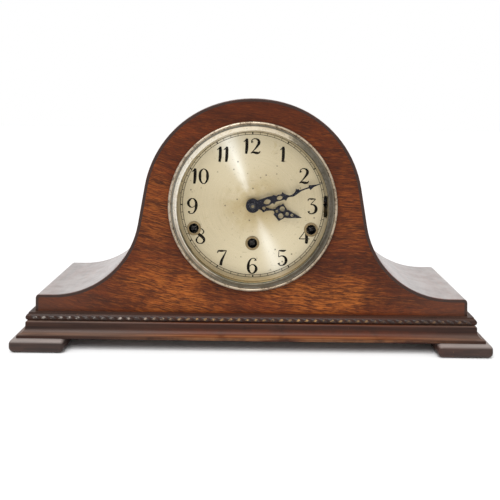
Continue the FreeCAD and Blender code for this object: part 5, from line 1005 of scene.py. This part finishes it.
class CLOCK_OT_metal_finish(bpy.types.Operator):
    """Dial, bezel, glass, hands and movement"""
    bl_idname = "clock.metal_finish"
    bl_label = "Metal finish"

    def execute(self, context):
        s = context.scene.clock_metal
        dressed("dial_plate", dial_silver("silvered_dial", s))
        dressed("bezel_ring", bezel_plate("plated_bezel", s))
        dressed("bezel_glass", clear_glass("domed_glass"))
        dressed("hour_hand minute_hand", blued("blued_hands", BLUED))
        dressed("hand_nut", blued("dark_nut", DARK_NUT))
        for name, *look, nodes in METALS:
            dressed(nodes, metal(name, *look, **METAL_EXTRAS.get(name, {})))
        return {"FINISHED"}


# Stage: where the lights point, the floor, and the surroundings as light and as seen

AIM = (0, 0, 0.1)
FLOOR_SIZE = 8
SKY_LIGHT, SKY_SHOWN = 0.5, 1.0


class CLOCK_OT_stage(bpy.types.Operator):
    """Pale floor, soft lights and the camera"""
    bl_idname = "clock.stage"
    bl_label = "Stage"

    def lamp(self, light, at):
        """Hangs a light at a place, turned to the clock."""
        lamp = bpy.data.objects.new(light.name, light)
        bpy.context.scene.collection.objects.link(lamp)
        lamp.location = at
        way = Vector(AIM) - Vector(at)
        lamp.rotation_euler = way.to_track_quat("-Z", "Y").to_euler()

    def area(self, name, at, size, power):
        light = bpy.data.lights.new(name, "AREA")
        light.shape = "RECTANGLE"
        light.size, light.size_y = size
        light.energy = power
        self.lamp(light, at)

    def sun(self, name, at, power, width):
        light = bpy.data.lights.new(name, "SUN")
        light.energy = power
        light.angle = math.radians(width)
        self.lamp(light, at)

    def floor(self, s):
        clean_selection()
        bpy.ops.mesh.primitive_plane_add(size=FLOOR_SIZE, location=(0, 0, 0))
        floor = bpy.context.object
        floor.name = "floor"
        paint = Paint("pale_floor", Roughness=0.9, Specular_IOR_Level=0.1)
        tone = paint.noise(3, 2, 0.5)
        color = paint.blend(tone * 0.3, tuple(s.floor), tuple(c * 0.985 for c in s.floor))
        paint.finish(Base_Color=color, Roughness=0.85 + tone * 0.1)
        floor.data.materials.append(paint.material)

    def world(self):
        """White surroundings: bright where they are seen, weaker as light."""
        world = bpy.data.worlds.new("studio")
        bpy.context.scene.world = world
        world.use_nodes = True
        tree = world.node_tree
        tree.nodes.clear()
        rays = tree.nodes.new("ShaderNodeLightPath")
        shown = rays.outputs["Is Camera Ray"]
        for kind in ("Is Transmission Ray", "Is Glossy Ray"):
            either = tree.nodes.new("ShaderNodeMath")
            either.operation = "MAXIMUM"
            tree.links.new(shown, either.inputs[0])
            tree.links.new(rays.outputs[kind], either.inputs[1])
            shown = either.outputs[0]
        strength = tree.nodes.new("ShaderNodeMapRange")
        strength.inputs["To Min"].default_value = SKY_LIGHT
        strength.inputs["To Max"].default_value = SKY_SHOWN
        tree.links.new(shown, strength.inputs["Value"])
        back = tree.nodes.new("ShaderNodeBackground")
        back.inputs["Color"].default_value = (1, 1, 1, 1)
        tree.links.new(strength.outputs[0], back.inputs["Strength"])
        out = tree.nodes.new("ShaderNodeOutputWorld")
        tree.links.new(back.outputs[0], out.inputs[0])

    def camera(self, s):
        camera = bpy.data.cameras.new("camera")
        camera.sensor_width = 36
        camera.lens = s.focal
        camera.shift_x = s.slide
        camera.shift_y = s.sink
        camera.clip_start = 0.01
        camera.clip_end = 30
        eye = bpy.data.objects.new("camera", camera)
        bpy.context.scene.collection.objects.link(eye)
        place = Matrix.Translation((s.side, CASE_FRONT - s.distance, s.height))
        level = Matrix.Rotation(math.pi / 2, 4, "X")
        eye.matrix_world = place @ Matrix.Rotation(-s.roll, 4, "Y") @ level
        bpy.context.scene.camera = eye

    def execute(self, context):
        s = context.scene.clock_stage
        self.floor(s)
        self.world()
        self.sun("front_sky", (-0.15, -0.70, 1.0), 2.6, 40)
        self.area("left_light", (-1.1, -0.7, 1.0), (0.5, 0.9), 4)
        self.area("right_light", (1.2, -0.7, 1.0), (0.4, 0.9), 3)
        self.camera(s)
        context.scene.view_settings.view_transform = "Standard"
        return {"FINISHED"}


class CLOCK_PT_panel(bpy.types.Panel):
    """The clock's settings and steps"""
    bl_label = "Tambour clock"
    bl_idname = "CLOCK_PT_panel"
    bl_space_type = "VIEW_3D"
    bl_region_type = "UI"
    bl_category = "Clock"

    def draw(self, context):
        for name, group in GROUPS.items():
            column = self.layout.column()
            for prop in group.__annotations__:
                column.prop(getattr(context.scene, name), prop)
        for operator in OPERATORS:
            self.layout.operator(operator.bl_idname)


OPERATORS = (
    CLOCK_OT_stage,
    CLOCK_OT_wood_finish,
    CLOCK_OT_metal_finish,
    CLOCK_OT_minute_track,
    CLOCK_OT_numerals,
    CLOCK_OT_carved_beads,
)


def register():
    for cls in (*GROUPS.values(), *OPERATORS, CLOCK_PT_panel):
        bpy.utils.register_class(cls)
    for name, group in GROUPS.items():
        setattr(bpy.types.Scene, name, bpy.props.PointerProperty(type=group))


def unregister():
    for name in GROUPS:
        delattr(bpy.types.Scene, name)
    for cls in (CLOCK_PT_panel, *reversed(OPERATORS), *reversed(GROUPS.values())):
        bpy.utils.unregister_class(cls)


def main():
    register()
    clean_selection()
    bpy.ops.clock.stage()
    bpy.ops.clock.wood_finish()
    bpy.ops.clock.metal_finish()
    bpy.ops.clock.minute_track()
    bpy.ops.clock.numerals()
    bpy.ops.clock.carved_beads()


if __name__ == "__main__":
    main()
